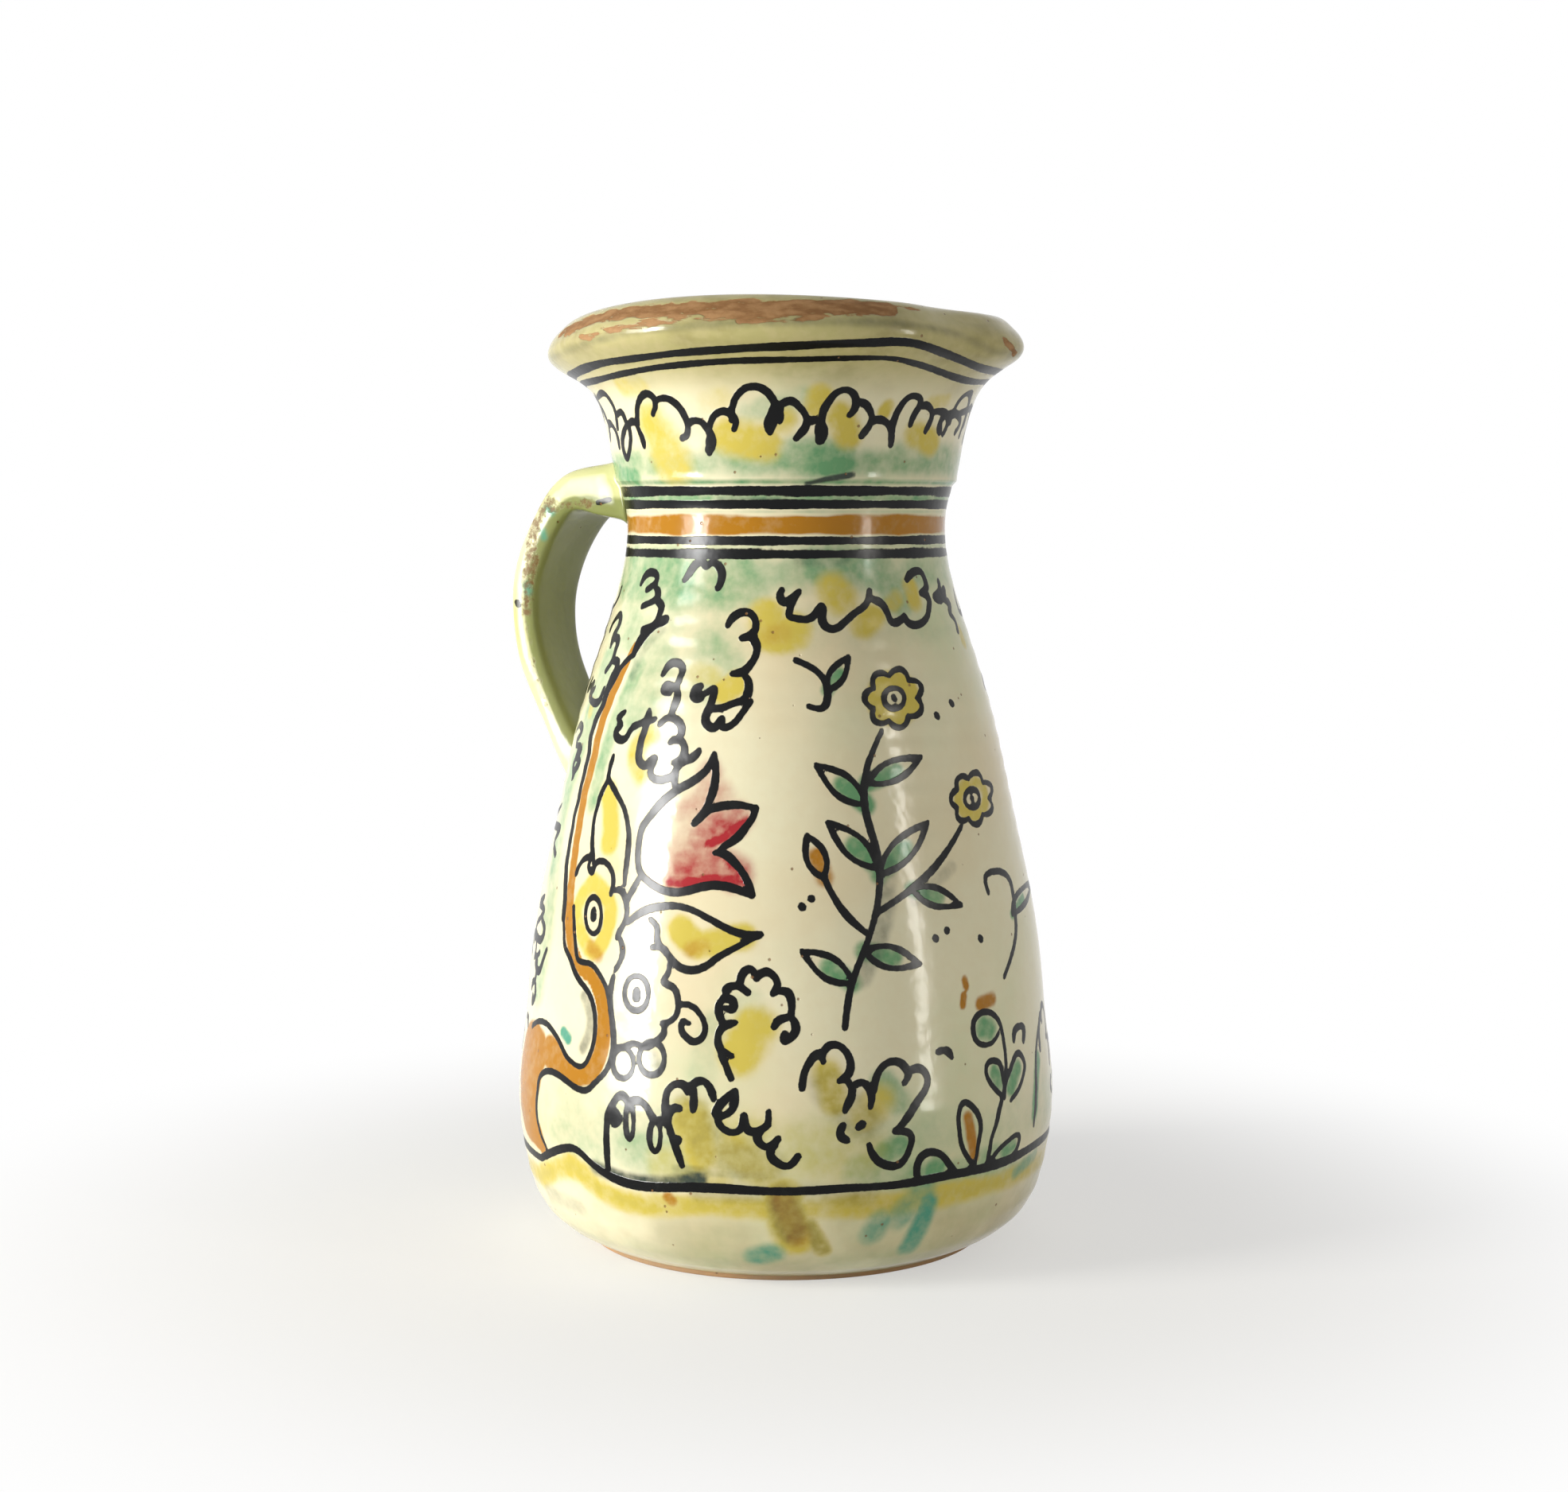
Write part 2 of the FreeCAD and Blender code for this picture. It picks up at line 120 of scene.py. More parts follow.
RIM_BAND_WIDE = [
    (721, 470), (741, 461), (782, 453), (843, 445), (904, 440), (950, 437), (1000, 435),
    (1041, 433), (1102, 431), (1143, 431), (1158, 434), (1184, 443), (1215, 455), (1235, 463),
    (1251, 467),
]
RIM_BAND_FINE = [
    (734, 482), (762, 475), (802, 466), (843, 460), (884, 456), (945, 453), (1000, 452),
    (1041, 451), (1102, 450), (1123, 451), (1143, 455), (1164, 461), (1184, 468), (1204, 475),
    (1225, 480), (1240, 480),
]
# The groove in the rim roll, darkened with grey as painted shade.
RIM_GROOVE_SHADE = [
    (722, 438), (760, 425), (850, 411), (950, 405), (1050, 404), (1140, 408), (1200, 420), (1250, 442),
]
GROUND_LINE = [
    (680, 1456), (698, 1447), (720, 1444), (738, 1458), (756, 1473), (792, 1489), (863, 1493),
    (930, 1496), (997, 1498), (1064, 1494), (1131, 1489), (1189, 1478), (1234, 1469),
    (1278, 1453), (1305, 1436),
]

# Lines drawn while the jug turned: where they run, half their width in pixels and where their
# unevenness starts. The neck's lines are level, so they have only a row.
ROUND_LINES = [(RIM_BAND_WIDE, 6.9, 1), (RIM_BAND_FINE, 5.4, 2), (GROUND_LINE, 6.0, 3)]
NECK_LINES = [(617, 6.35, 0), (634, 5.8, 1), (680, 5.52, 2), (697, 5.93, 3)]

# Bands of paint laid the same way: the paint, where it runs, half its width in pixels, where its unevenness
# starts, how strong it is and how soft its edges are. The grey band in the rim's groove is painted shade.
BASE_BAND_DROP = 23
BASE_BAND = [(across, down + BASE_BAND_DROP) for across, down in GROUND_LINE]
PLACED_BANDS = [
    ("yellow", BASE_BAND, 17, 5, 0.72, 0.7),
    ("grey", BASE_BAND, 15, 8, 0.22, 1.0),
    # Painted shade: grey along the groove in the rim roll.
    ("grey", RIM_GROOVE_SHADE, 8, 7, 0.36, 1.0),
]
LEVEL_BANDS = [
    ("orange", 660, 12, 4, 1.0, 0.3),
    ("green", 582, 20, 6, 0.5, 0.8),
    ("green", 606, 5, 6, 0.6, 0.8),
    ("green", 626, 7, 6, 0.6, 0.8),
    ("green", 643, 3, 6, 0.35, 0.8),
    ("green", 688, 5, 6, 0.35, 0.8),
    ("green", 720, 30, 6, 0.42, 0.8),
    ("green", 790, 40, 6, 0.26, 0.8),
    ("green", 1440, 44, 6, 0.3, 0.8),
    ("green", 1590, 30, 6, 0.24, 0.8),
]

GARLAND = [
    [(748, 497), (756, 513), (763, 530)],
    [(751, 500), (757, 494), (766, 502), (774, 521), (776, 538)],
    [(776, 521), (780, 518), (786, 528), (789, 534)],
    [(788, 533), (784, 544), (783, 562), (788, 576), (792, 562), (792, 544), (789, 533)],
    [(791, 532), (797, 530), (802, 538), (808, 552), (810, 561)],
    [(802, 532), (801, 517), (804, 503), (812, 495), (820, 498), (824, 507), (821, 521)],
    [(823, 505), (831, 501), (841, 502), (853, 511), (863, 528), (865, 536), (863, 548), (858, 551)],
    [(865, 533), (872, 529), (882, 531), (890, 540), (895, 550), (896, 560), (892, 570)],
    [(893, 534), (898, 523), (909, 517), (919, 521), (925, 530), (923, 540)],
    [
        (920, 528), (921, 511), (927, 497), (937, 488), (949, 486), (962, 491), (972, 503),
        (977, 517), (974, 530), (968, 544),
    ],
    [(978, 511), (986, 506), (994, 504), (1004, 511), (1012, 521), (1014, 532), (1009, 542), (1001, 551)],
    [(981, 511), (980, 530)],
    [(1014, 532), (1023, 528), (1031, 530), (1036, 540), (1033, 554)],
    [
        (1033, 532), (1035, 517), (1043, 503), (1053, 493), (1064, 490), (1072, 494), (1076, 503),
        (1075, 513), (1068, 522),
    ],
    [(1076, 508), (1084, 506), (1092, 513), (1096, 526), (1091, 538), (1083, 548)],
    [(1094, 532), (1102, 528), (1111, 529), (1118, 536), (1121, 546), (1120, 559)],
    [
        (1122, 544), (1124, 530), (1129, 517), (1137, 505), (1147, 498), (1157, 501), (1156, 511),
        (1149, 523), (1145, 534),
    ],
    [(1158, 511), (1166, 510), (1172, 517), (1170, 530), (1164, 542)],
    [(1172, 519), (1180, 517), (1190, 521), (1192, 530), (1186, 546)],
    [(1190, 521), (1200, 519), (1207, 526), (1201, 544)],
    [(1196, 523), (1209, 519), (1222, 513)],
]
GARLAND_DROPS = [
    [(894, 548), (893, 556), (891, 566)],
    [(973, 513), (967, 530), (966, 540)],
    [(1030, 534), (1030, 554)],
    [(1187, 523), (1182, 534), (1182, 544)],
]
TREE_TOPS = [
    [
        (861, 729), (867, 721), (874, 711), (884, 707), (888, 712), (894, 708), (902, 710),
        (908, 721), (903, 739),
    ],
    [(806, 734), (810, 726), (817, 720), (824, 721), (826, 729), (821, 736), (814, 741)],
    [(823, 737), (828, 745), (825, 753), (817, 758), (808, 762)],
    [(825, 755), (831, 760), (830, 772), (823, 784), (816, 789), (808, 791)],
    [(767, 792), (771, 782), (779, 773), (778, 786), (770, 801), (768, 812)],
    [(770, 804), (775, 802), (774, 817), (770, 829), (762, 843)],
    [(771, 831), (775, 831), (770, 849), (763, 866)],
    [(744, 853), (740, 866), (745, 859), (741, 874)],
    [(747, 866), (742, 880), (747, 884), (759, 866)],
    [(724, 919), (729, 911), (731, 919), (726, 929), (724, 937)],
    [(725, 937), (729, 940), (724, 953), (720, 976)],
    [
        (834, 848), (839, 839), (849, 833), (857, 837), (856, 851), (847, 863), (839, 861),
        (835, 868), (842, 871),
    ],
    [(849, 863), (852, 874), (847, 890), (843, 902)],
    [(830, 910), (839, 903), (849, 904), (857, 914), (854, 927), (843, 933)],
    [(847, 930), (858, 933), (861, 945), (853, 957), (847, 959)],
    [(879, 944), (870, 953), (858, 959), (849, 972), (848, 984)],
    [(785, 896), (778, 903), (781, 911), (775, 918), (778, 929), (785, 930), (792, 919), (799, 913)],
    [(816, 894), (814, 904), (802, 911), (796, 914)],
    [
        (824, 904), (815, 909), (811, 917), (807, 929), (804, 943), (804, 957), (811, 963),
        (819, 955), (823, 953), (820, 963), (819, 976), (828, 981), (841, 978), (849, 976),
    ],
    [(915, 786), (921, 777), (933, 770), (943, 771), (950, 782), (948, 794), (941, 800), (933, 802)],
    [(943, 798), (950, 808), (951, 821), (945, 833), (933, 845), (921, 847)],
    [(931, 844), (940, 855), (941, 868), (935, 880), (923, 884), (911, 889), (896, 891)],
    [(881, 863), (873, 868), (873, 878), (881, 877), (879, 870)],
    [
        (876, 874), (886, 872), (898, 866), (896, 878), (892, 890), (887, 902), (890, 912),
        (900, 914), (907, 904), (909, 914), (919, 912), (929, 902), (943, 882),
    ],
    [(983, 742), (980, 751), (986, 757), (994, 753), (1004, 744)],
    [
        (1001, 748), (994, 763), (992, 774), (1003, 778), (1022, 775), (1033, 763), (1033, 775),
        (1037, 787), (1047, 791), (1061, 783), (1076, 770), (1090, 758), (1093, 743),
    ],
    [(1094, 753), (1107, 758), (1116, 772), (1122, 783), (1136, 777)],
    [(1140, 729), (1145, 722), (1156, 718), (1163, 729), (1164, 741), (1158, 746)],
    [(1159, 746), (1167, 751), (1168, 765), (1163, 780), (1151, 786), (1141, 782), (1137, 774)],
    [
        (1180, 731), (1179, 746), (1175, 751), (1182, 755), (1187, 741), (1187, 753), (1193, 757),
        (1194, 770), (1199, 777), (1204, 794),
    ],
    [(728, 942), (725, 952), (728, 956), (722, 969), (719, 978)],
    [(705, 1013), (699, 1026), (698, 1038), (702, 1040), (698, 1054), (698, 1075)],
    [(684, 1128), (679, 1136), (683, 1142), (674, 1164), (679, 1182), (684, 1169), (681, 1156)],
    [(687, 1194), (681, 1212), (677, 1221), (673, 1210), (678, 1198)],
]
BUSHES = [
    [(764, 1468), (762, 1445), (762, 1419), (764, 1398), (771, 1386), (781, 1377), (788, 1384), (790, 1394)],
    [(771, 1390), (769, 1402), (773, 1414), (777, 1410), (774, 1398)],
    [(790, 1386), (801, 1384), (809, 1388), (818, 1402), (823, 1410)],
    [(823, 1409), (832, 1409), (840, 1417), (842, 1425)],
    [(836, 1408), (836, 1386), (840, 1370), (850, 1363), (862, 1367), (864, 1374)],
    [(862, 1368), (869, 1366), (872, 1378), (871, 1396)],
    [(871, 1363), (881, 1359), (891, 1366), (897, 1382)],
    [(854, 1394), (846, 1394), (841, 1402), (841, 1417), (846, 1433), (852, 1451), (857, 1466)],
    [(846, 1433), (854, 1433)],
    [(919, 1356), (911, 1337), (908, 1324), (920, 1328)],
    [(908, 1324), (902, 1305), (908, 1292), (924, 1286)],
    [(908, 1285), (903, 1270), (908, 1257), (920, 1257), (921, 1268), (912, 1268)],
    [(913, 1254), (913, 1244), (924, 1240), (940, 1248)],
    [(931, 1241), (933, 1225), (942, 1218), (951, 1230)],
    [(951, 1230), (962, 1222), (974, 1229), (976, 1244), (972, 1249)],
    [(978, 1246), (990, 1248), (995, 1262), (992, 1278), (980, 1282), (973, 1291)],
    [(994, 1278), (1000, 1289), (996, 1303), (985, 1309), (986, 1300)],
    [(1008, 1368), (1010, 1353), (1018, 1335), (1029, 1325), (1035, 1335)],
    [(1034, 1325), (1042, 1315), (1055, 1315), (1066, 1327), (1069, 1343), (1061, 1356), (1055, 1359)],
    [(1063, 1356), (1071, 1372), (1066, 1388), (1062, 1397)],
    [(1071, 1367), (1082, 1361), (1093, 1369), (1094, 1392)],
    [(1098, 1372), (1104, 1348), (1114, 1337), (1128, 1335), (1138, 1343), (1141, 1353), (1136, 1362)],
    [(1141, 1348), (1154, 1343), (1164, 1351), (1164, 1367), (1154, 1383), (1141, 1404), (1128, 1420)],
    [(1125, 1422), (1144, 1426), (1142, 1447), (1128, 1465), (1109, 1463), (1096, 1450), (1092, 1439)],
    [(1060, 1415), (1055, 1427), (1065, 1434)],
    [(1085, 1413), (1079, 1417)],
    [(1179, 1322), (1189, 1321), (1196, 1329)],
    [(924, 1372), (908, 1386), (900, 1402), (911, 1402), (923, 1388), (924, 1375)],
    [
        (901, 1404), (905, 1415), (919, 1424), (932, 1418), (935, 1404), (939, 1420), (950, 1423),
        (964, 1414), (966, 1398),
    ],
    [(966, 1415), (954, 1423), (952, 1432), (963, 1442), (978, 1432)],
    [(976, 1439), (968, 1449), (978, 1463), (991, 1466), (1003, 1454)],
    [(1156, 1487), (1152, 1469), (1163, 1450), (1181, 1451), (1192, 1463), (1200, 1474)],
    [(1274, 1308), (1278, 1292), (1283, 1290), (1286, 1308)],
]
FLOWERS = [
    [(771, 950), (767, 967), (764, 981)],
    [(764, 981), (755, 1001), (748, 1026), (745, 1048), (745, 1071), (746, 1083)],
    [(765, 980), (775, 997), (785, 1018), (790, 1042), (790, 1067), (787, 1091), (785, 1113)],
    [(744, 1077), (736, 1079), (728, 1089), (724, 1099)],
    [(742, 1081), (741, 1093), (744, 1097), (748, 1087), (758, 1083), (767, 1091), (771, 1103), (768, 1124)],
    [(771, 1120), (779, 1119), (786, 1130), (788, 1146), (785, 1160), (778, 1173), (776, 1179)],
    [(778, 1177), (782, 1189), (781, 1205), (774, 1218)],
    [(805, 1101), (797, 1116), (789, 1132), (787, 1140)],
    [(820, 1191), (834, 1193), (840, 1200)],
    [(841, 1212), (839, 1225), (834, 1234), (845, 1241), (852, 1257), (850, 1276), (838, 1286), (832, 1287)],
    [(834, 1288), (834, 1300), (824, 1310), (811, 1317), (797, 1312), (783, 1317), (773, 1317)],
    [(771, 1227), (767, 1251), (771, 1292), (771, 1317)],
    [
        (856, 1263), (867, 1264), (879, 1274), (886, 1290), (883, 1304), (873, 1310), (862, 1304),
        (856, 1292), (858, 1284), (866, 1287),
    ],
]
TULIP = [
    [
        (898, 949), (889, 967), (873, 981), (852, 993), (832, 1009), (816, 1028), (807, 1042),
        (803, 1062), (802, 1083), (805, 1097), (816, 1109), (830, 1118), (852, 1122), (875, 1117),
        (897, 1113), (922, 1117), (936, 1122), (945, 1126),
    ],
    [(945, 1125), (940, 1109), (932, 1095), (920, 1081), (909, 1073), (899, 1072)],
    [(903, 1072), (911, 1064), (926, 1054), (936, 1042), (946, 1028), (950, 1016)],
    [(949, 1016), (926, 1012), (905, 1014), (891, 1019), (881, 1028), (873, 1035)],
    [(875, 1032), (885, 1020), (893, 1005), (898, 987), (900, 967), (898, 950)],
]
RIGHT_LEAF = [
    [
        (789, 1160), (799, 1152), (813, 1144), (830, 1140), (848, 1139), (869, 1144), (889, 1154),
        (913, 1167), (936, 1175), (956, 1175),
    ],
    [
        (956, 1176), (940, 1183), (922, 1193), (905, 1202), (885, 1216), (867, 1220), (850, 1213),
        (840, 1201), (826, 1181), (826, 1167), (818, 1156),
    ],
]
SPRIG = [
    [(1240, 1469), (1243, 1447), (1246, 1431), (1251, 1415), (1256, 1394), (1260, 1378)],
    [
        (1260, 1378), (1264, 1351), (1263, 1324), (1259, 1297), (1251, 1278), (1238, 1272),
        (1225, 1281), (1223, 1297), (1229, 1311), (1243, 1313), (1255, 1298),
    ],
    [(1259, 1378), (1246, 1364), (1239, 1348), (1243, 1335), (1254, 1335), (1259, 1348), (1262, 1367)],
    [
        (1262, 1380), (1264, 1361), (1271, 1340), (1280, 1324), (1286, 1332), (1286, 1351),
        (1280, 1369), (1270, 1383),
    ],
    [
        (1224, 1466), (1211, 1447), (1205, 1418), (1205, 1399), (1211, 1386), (1224, 1394),
        (1232, 1412), (1229, 1439), (1225, 1466),
    ],
    [(1240, 1469), (1251, 1450), (1267, 1434), (1280, 1427), (1280, 1436), (1272, 1453), (1259, 1461)],
    [(1299, 1415), (1302, 1378), (1302, 1324), (1306, 1285)],
]
TRUNK_TOP = [(837, 779), (827, 784), (815, 794), (804, 807), (797, 823)]
TRUNK_NEAR_LINE = [
    (797, 823), (782, 837), (776, 847), (768, 861), (762, 874), (756, 890), (747, 910),
    (742, 931), (739, 953), (732, 981), (728, 1001), (722, 1026), (718, 1050), (713, 1079),
    (711, 1103), (710, 1130), (708, 1154), (709, 1175), (710, 1190), (716, 1204), (722, 1221),
    (730, 1235), (740, 1249), (746, 1266), (748, 1286), (746, 1310), (740, 1329), (730, 1341),
    (720, 1337), (711, 1327), (703, 1310), (693, 1294), (685, 1286), (677, 1284), (669, 1290),
]
TRUNK_FAR_LINE = [
    (721, 1140), (722, 1170), (724, 1195), (728, 1208), (742, 1212), (752, 1223), (760, 1237),
    (764, 1251), (767, 1272), (769, 1292), (770, 1312), (767, 1333), (758, 1351), (746, 1363),
    (736, 1371), (724, 1368), (709, 1357), (697, 1349), (687, 1347), (679, 1353), (676, 1368),
    (674, 1386), (675, 1404), (679, 1425), (685, 1439), (690, 1453),
]
# Runs of the orange trunk: a place and how wide it is there, in pixels.
TRUNK_SLENDER = [
    ((798, 812), 5), ((792, 825), 6), ((783, 845), 7), ((773, 866), 8), ((765, 886), 8),
    ((757, 908), 8), ((751, 931), 8), ((745, 960), 8), ((737, 989), 8), ((731, 1020), 8),
    ((726, 1050), 8), ((720, 1095), 8), ((717, 1124), 9), ((715, 1150), 10), ((716, 1175), 10),
    ((719, 1190), 11), ((725, 1206), 12),
]
TRUNK_BROAD = [
    ((724, 1206), 11), ((732, 1218), 14), ((744, 1229), 15), ((752, 1243), 16), ((757, 1261), 16),
    ((759, 1282), 16), ((758, 1304), 17), ((754, 1327), 18), ((746, 1343), 20), ((736, 1353), 22),
    ((724, 1353), 22), ((711, 1345), 20), ((698, 1331), 22), ((687, 1319), 26), ((677, 1322), 28),
    ((668, 1343), 26), ((665, 1363), 20), ((664, 1384), 18), ((667, 1404), 16), ((673, 1421), 13),
    ((681, 1439), 9),
]

# A flowering spray on the side towards the lip: its stems, and its leaves from base to tip with
# how far each bulges to either side.
SPRAY_STEMS = [
    [
        (1062, 1292), (1070, 1240), (1088, 1190), (1104, 1130), (1102, 1070), (1088, 1020),
        (1090, 965), (1108, 920),
    ],
    [(1099, 1150), (1140, 1122), (1180, 1084), (1208, 1040)],
    [(1092, 1176), (1060, 1146), (1036, 1104)],
    [(1262, 1228), (1276, 1180), (1274, 1130), (1258, 1096), (1240, 1100), (1242, 1122)],
    [(1000, 830), (1024, 842), (1040, 866), (1034, 890), (1016, 888)],
]
SPRAY_LEAVES = [
    ((1104, 1092), (1040, 1034), 13),
    ((1105, 1100), (1166, 1034), 13),
    ((1089, 1012), (1026, 962), 13),
    ((1090, 985), (1158, 952), 12),
    ((1086, 1196), (1156, 1212), 13),
    ((1072, 1236), (1008, 1196), 13),
    ((1146, 1118), (1208, 1138), 11),
    ((1272, 1150), (1296, 1108), 7),
    ((1040, 868), (1066, 826), 9),
]
SPRAY_DAISIES = [((1124, 878), 36, 36), ((1222, 1004), 26, 32)]
SPRAY_BUD = ((1036, 1104), (1014, 1050), 12)
SPRAY_DOTS = [(1178, 900), (1196, 884), (1176, 1180), (1190, 1170), (1020, 1130), (1008, 1140), (1232, 1180)]
DAISY_PETALS = 7

# A leaf's two sides: how far along it, and how far out as a share of its bulge.
LEAF_LEFT_SHARES = [(0.25, 0.8), (0.55, 1.0), (0.82, 0.5)]
LEAF_RIGHT_SHARES = [(0.78, 0.55), (0.5, 1.0), (0.2, 0.7)]
LEAF_WASH_STRENGTH = 0.8
LEAF_WASH_SHARE = 0.75
LEAF_WASH_SHIFT = 2

# A daisy's ring, its petals' arcs and the wash round it, as shares of its radius.
DAISY_RING_SHARE = 0.36
PETAL_PARTS = [0.0, 0.22, 0.5, 0.78, 1.0]
PETAL_START_SHARE = 0.8
PETAL_RISE_SHARE = 0.24
DAISY_WASH_STRENGTH = 0.95
DAISY_WASH_WIDTH_SHARE = 0.26
DAISY_WASH_RADIUS_SHARE = 0.66

# Ovals drawn with one turn of the brush: centre, half width, half height and how broad the line
# is. Then the strokes in the middles of two flowers.
OVALS = [
    ((746, 1151), 10, 23, 0.8), ((800, 1249), 15, 22, 0.8), ((783, 1337), 13, 19, 0.8),
    ((819, 1331), 16, 21, 0.85), ((791, 1410), 5, 22, 0.85), ((823, 1429), 7, 19, 0.85),
]
FLOWER_HEARTS = [(746, 1150), (800, 1251)]
HEART_HALF_LENGTH = 5
HEART_SHARE = 1.2

# Every group of brush lines, and how broad its lines are as a share of the usual width.
LINE_GROUPS = [
    (GARLAND, 1.05), (GARLAND_DROPS, 1.3), (TREE_TOPS, 1.12), (BUSHES, 1.08), (FLOWERS, 0.92),
    (TULIP, 1.1), (RIGHT_LEAF, 1.0), (SPRIG, 0.85), (SPRAY_STEMS, 1.0), ([TRUNK_TOP], 1.5),
    ([TRUNK_NEAR_LINE[:17]], 1.25), ([TRUNK_NEAR_LINE[16:]], 0.85), ([TRUNK_FAR_LINE], 0.85),
]
FINE_SHARE = 0.85

# Lines that are repeated further round, between the near and the far side, and by how many degrees.
FILLERS = [
    (GARLAND[9:16], 78.0),
    (TREE_TOPS[25:26], 77.0),
    (TREE_TOPS[19:24], 108.0),
    (BUSHES[17:27], 67.0),
    (BUSHES[9:17], 106.0),
]
FILLER_SHARE = 1.05

# Washes under the brush lines: how strong, half how wide in pixels, and where.
GREEN_WASHES = [
    (0.72, 20, [(1000, 574), (1056, 578)]),
    (0.9, 8, [(1036, 588), (1060, 584)]),
    (0.5, 16, [(900, 574), (990, 582)]),
    (0.7, 12, [(766, 572), (776, 592), (800, 600)]),
    (0.5, 17, [(1130, 574), (1200, 578)]),
    (0.42, 14, [(940, 520), (1010, 500)]),
    (0.6, 8, [(824, 626), (880, 628)]),
    (0.5, 7, [(1000, 627), (1200, 628)]),
    (0.6, 24, [(1030, 712), (1110, 722), (1130, 748)]),
    (0.6, 34, [(790, 722), (860, 730), (930, 734)]),
    (0.45, 32, [(786, 780), (826, 850), (800, 890)]),
    (0.45, 17, [(918, 832), (884, 802)]),
    (0.36, 40, [(850, 760), (900, 800), (880, 850)]),
    (0.55, 12, [(806, 836), (776, 900), (754, 970), (744, 1010)]),
    (0.5, 22, [(764, 830), (735, 920), (712, 1000), (698, 1080), (688, 1160), (676, 1240)]),
    (0.5, 26, [(790, 1440), (860, 1462)]),
    (0.36, 44, [(700, 1390), (780, 1420), (860, 1440)]),
    (0.4, 24, [(700, 1420), (744, 1452)]),
    (0.35, 20, [(944, 1290), (940, 1262)]),
    (0.55, 15, [(1128, 1386), (1110, 1362)]),
    (0.75, 13, [(1112, 1450), (1130, 1440)]),
    (0.75, 13, [(1174, 1472), (1180, 1464)]),
    (0.5, 20, [(1080, 1470), (1180, 1480), (1250, 1458)]),
    (0.8, 9, [(1250, 1348), (1256, 1364)]),
    (0.85, 9, [(1278, 1342), (1270, 1368)]),
    (0.8, 9, [(1262, 1448), (1272, 1440)]),
    (0.85, 8, [(1300, 1400), (1304, 1330)]),
    (0.75, 13, [(1236, 1292), (1242, 1294)]),
    (0.5, 12, [(1240, 1482), (1290, 1464)]),
    (0.35, 18, [(900, 1290), (880, 1350)]),
]
TURQUOISE_WASHES = [
    (0.6, 14, [(1096, 1550), (1106, 1536)]),
    (0.7, 12, [(1166, 1512), (1154, 1545), (1142, 1568)]),
    (0.5, 16, [(1130, 1530), (1160, 1500)]),
    (0.65, 14, [(952, 1580), (970, 1576)]),
    (0.9, 6, [(708, 1298), (714, 1306)]),
    (0.6, 8, [(1276, 1474), (1300, 1452)]),
]
YELLOW_WASHES = [
    (0.75, 24, [(820, 536), (846, 580)]),
    (0.8, 19, [(916, 548), (960, 556)]),
    (0.4, 13, [(890, 506), (908, 500)]),
    (0.75, 13, [(1030, 498), (1026, 512)]),
    (0.7, 12, [(988, 526), (984, 534)]),
    (0.8, 15, [(1056, 524), (1066, 546)]),
    (0.8, 8, [(1116, 512), (1112, 518)]),
    (0.85, 14, [(1150, 546), (1172, 556)]),
    (0.5, 12, [(782, 486), (806, 486)]),
    (0.5, 9, [(1172, 506), (1190, 504)]),
    (0.95, 18, [(962, 776), (972, 798), (996, 794)]),
    (0.8, 18, [(1048, 742), (1056, 752)]),
    (0.9, 14, [(1084, 786), (1096, 776)]),
    (0.6, 10, [(1122, 758), (1128, 752)]),
    (0.75, 11, [(1144, 738), (1150, 756)]),
    (0.75, 7, [(1206, 792), (1212, 808)]),
    (0.85, 13, [(912, 870), (926, 860)]),
    (0.45, 12, [(876, 846), (896, 850)]),
    (0.7, 12, [(818, 925), (800, 946), (806, 972)]),
    (0.6, 7, [(744, 884), (742, 896)]),
    (0.95, 12, [(765, 996), (768, 1024), (766, 1060)]),
    (0.35, 8, [(764, 1056), (774, 1090)]),
    (0.9, 9, [(746, 1108), (730, 1130), (730, 1172), (746, 1196), (762, 1172), (764, 1130), (746, 1108)]),
    (0.95, 13, [(856, 1168), (880, 1188), (906, 1182), (934, 1178)]),
    (0.85, 21, [(930, 1324), (950, 1292)]),
    (0.75, 22, [(866, 1408), (880, 1450)]),
    (0.6, 22, [(920, 1446), (956, 1470)]),
    (0.7, 15, [(1040, 1350), (1050, 1384)]),
    (0.6, 18, [(1086, 1404), (1106, 1384)]),
    (0.5, 22, [(836, 1464), (900, 1476)]),
    (0.4, 34, [(900, 1430), (1000, 1446), (1080, 1446)]),
    (0.95, 20, [(984, 1508), (1000, 1556)]),
    (0.8, 9, [(1016, 1540), (1034, 1572)]),
]
ORANGE_WASHES = [
    (1.0, 6, [(1216, 1404), (1222, 1440), (1224, 1456)]),
    (1.0, 7, [(1232, 1262), (1246, 1256)]),
    (1.0, 4, [(1210, 1264), (1211, 1252)]),
    (0.9, 4, [(1212, 1232), (1214, 1240)]),
    (0.8, 6, [(840, 1506), (844, 1510)]),
    (0.4, 14, [(984, 1510), (1004, 1556)]),
    (0.55, 8, [(742, 1190), (752, 1202)]),
    (0.45, 9, [(868, 1194), (884, 1190)]),
    (0.34, 12, [(968, 798), (984, 796)]),
]
RED_WASHES = [
    (0.42, 15, [(893, 972), (884, 1004), (862, 1022)]),
    (0.6, 17, [(926, 1030), (900, 1040), (880, 1056)]),
    (0.6, 19, [(924, 1098), (890, 1084), (862, 1086)]),
    (0.42, 20, [(900, 1000), (870, 1050), (840, 1090)]),
    (0.44, 15, [(856, 1060), (838, 1084), (828, 1098)]),
    (0.85, 5, [(936, 1112), (900, 1104), (868, 1110), (842, 1110)]),
    (0.85, 5, [(938, 1030), (914, 1050), (890, 1062)]),
    (0.8, 5, [(914, 1082), (926, 1096)]),
]
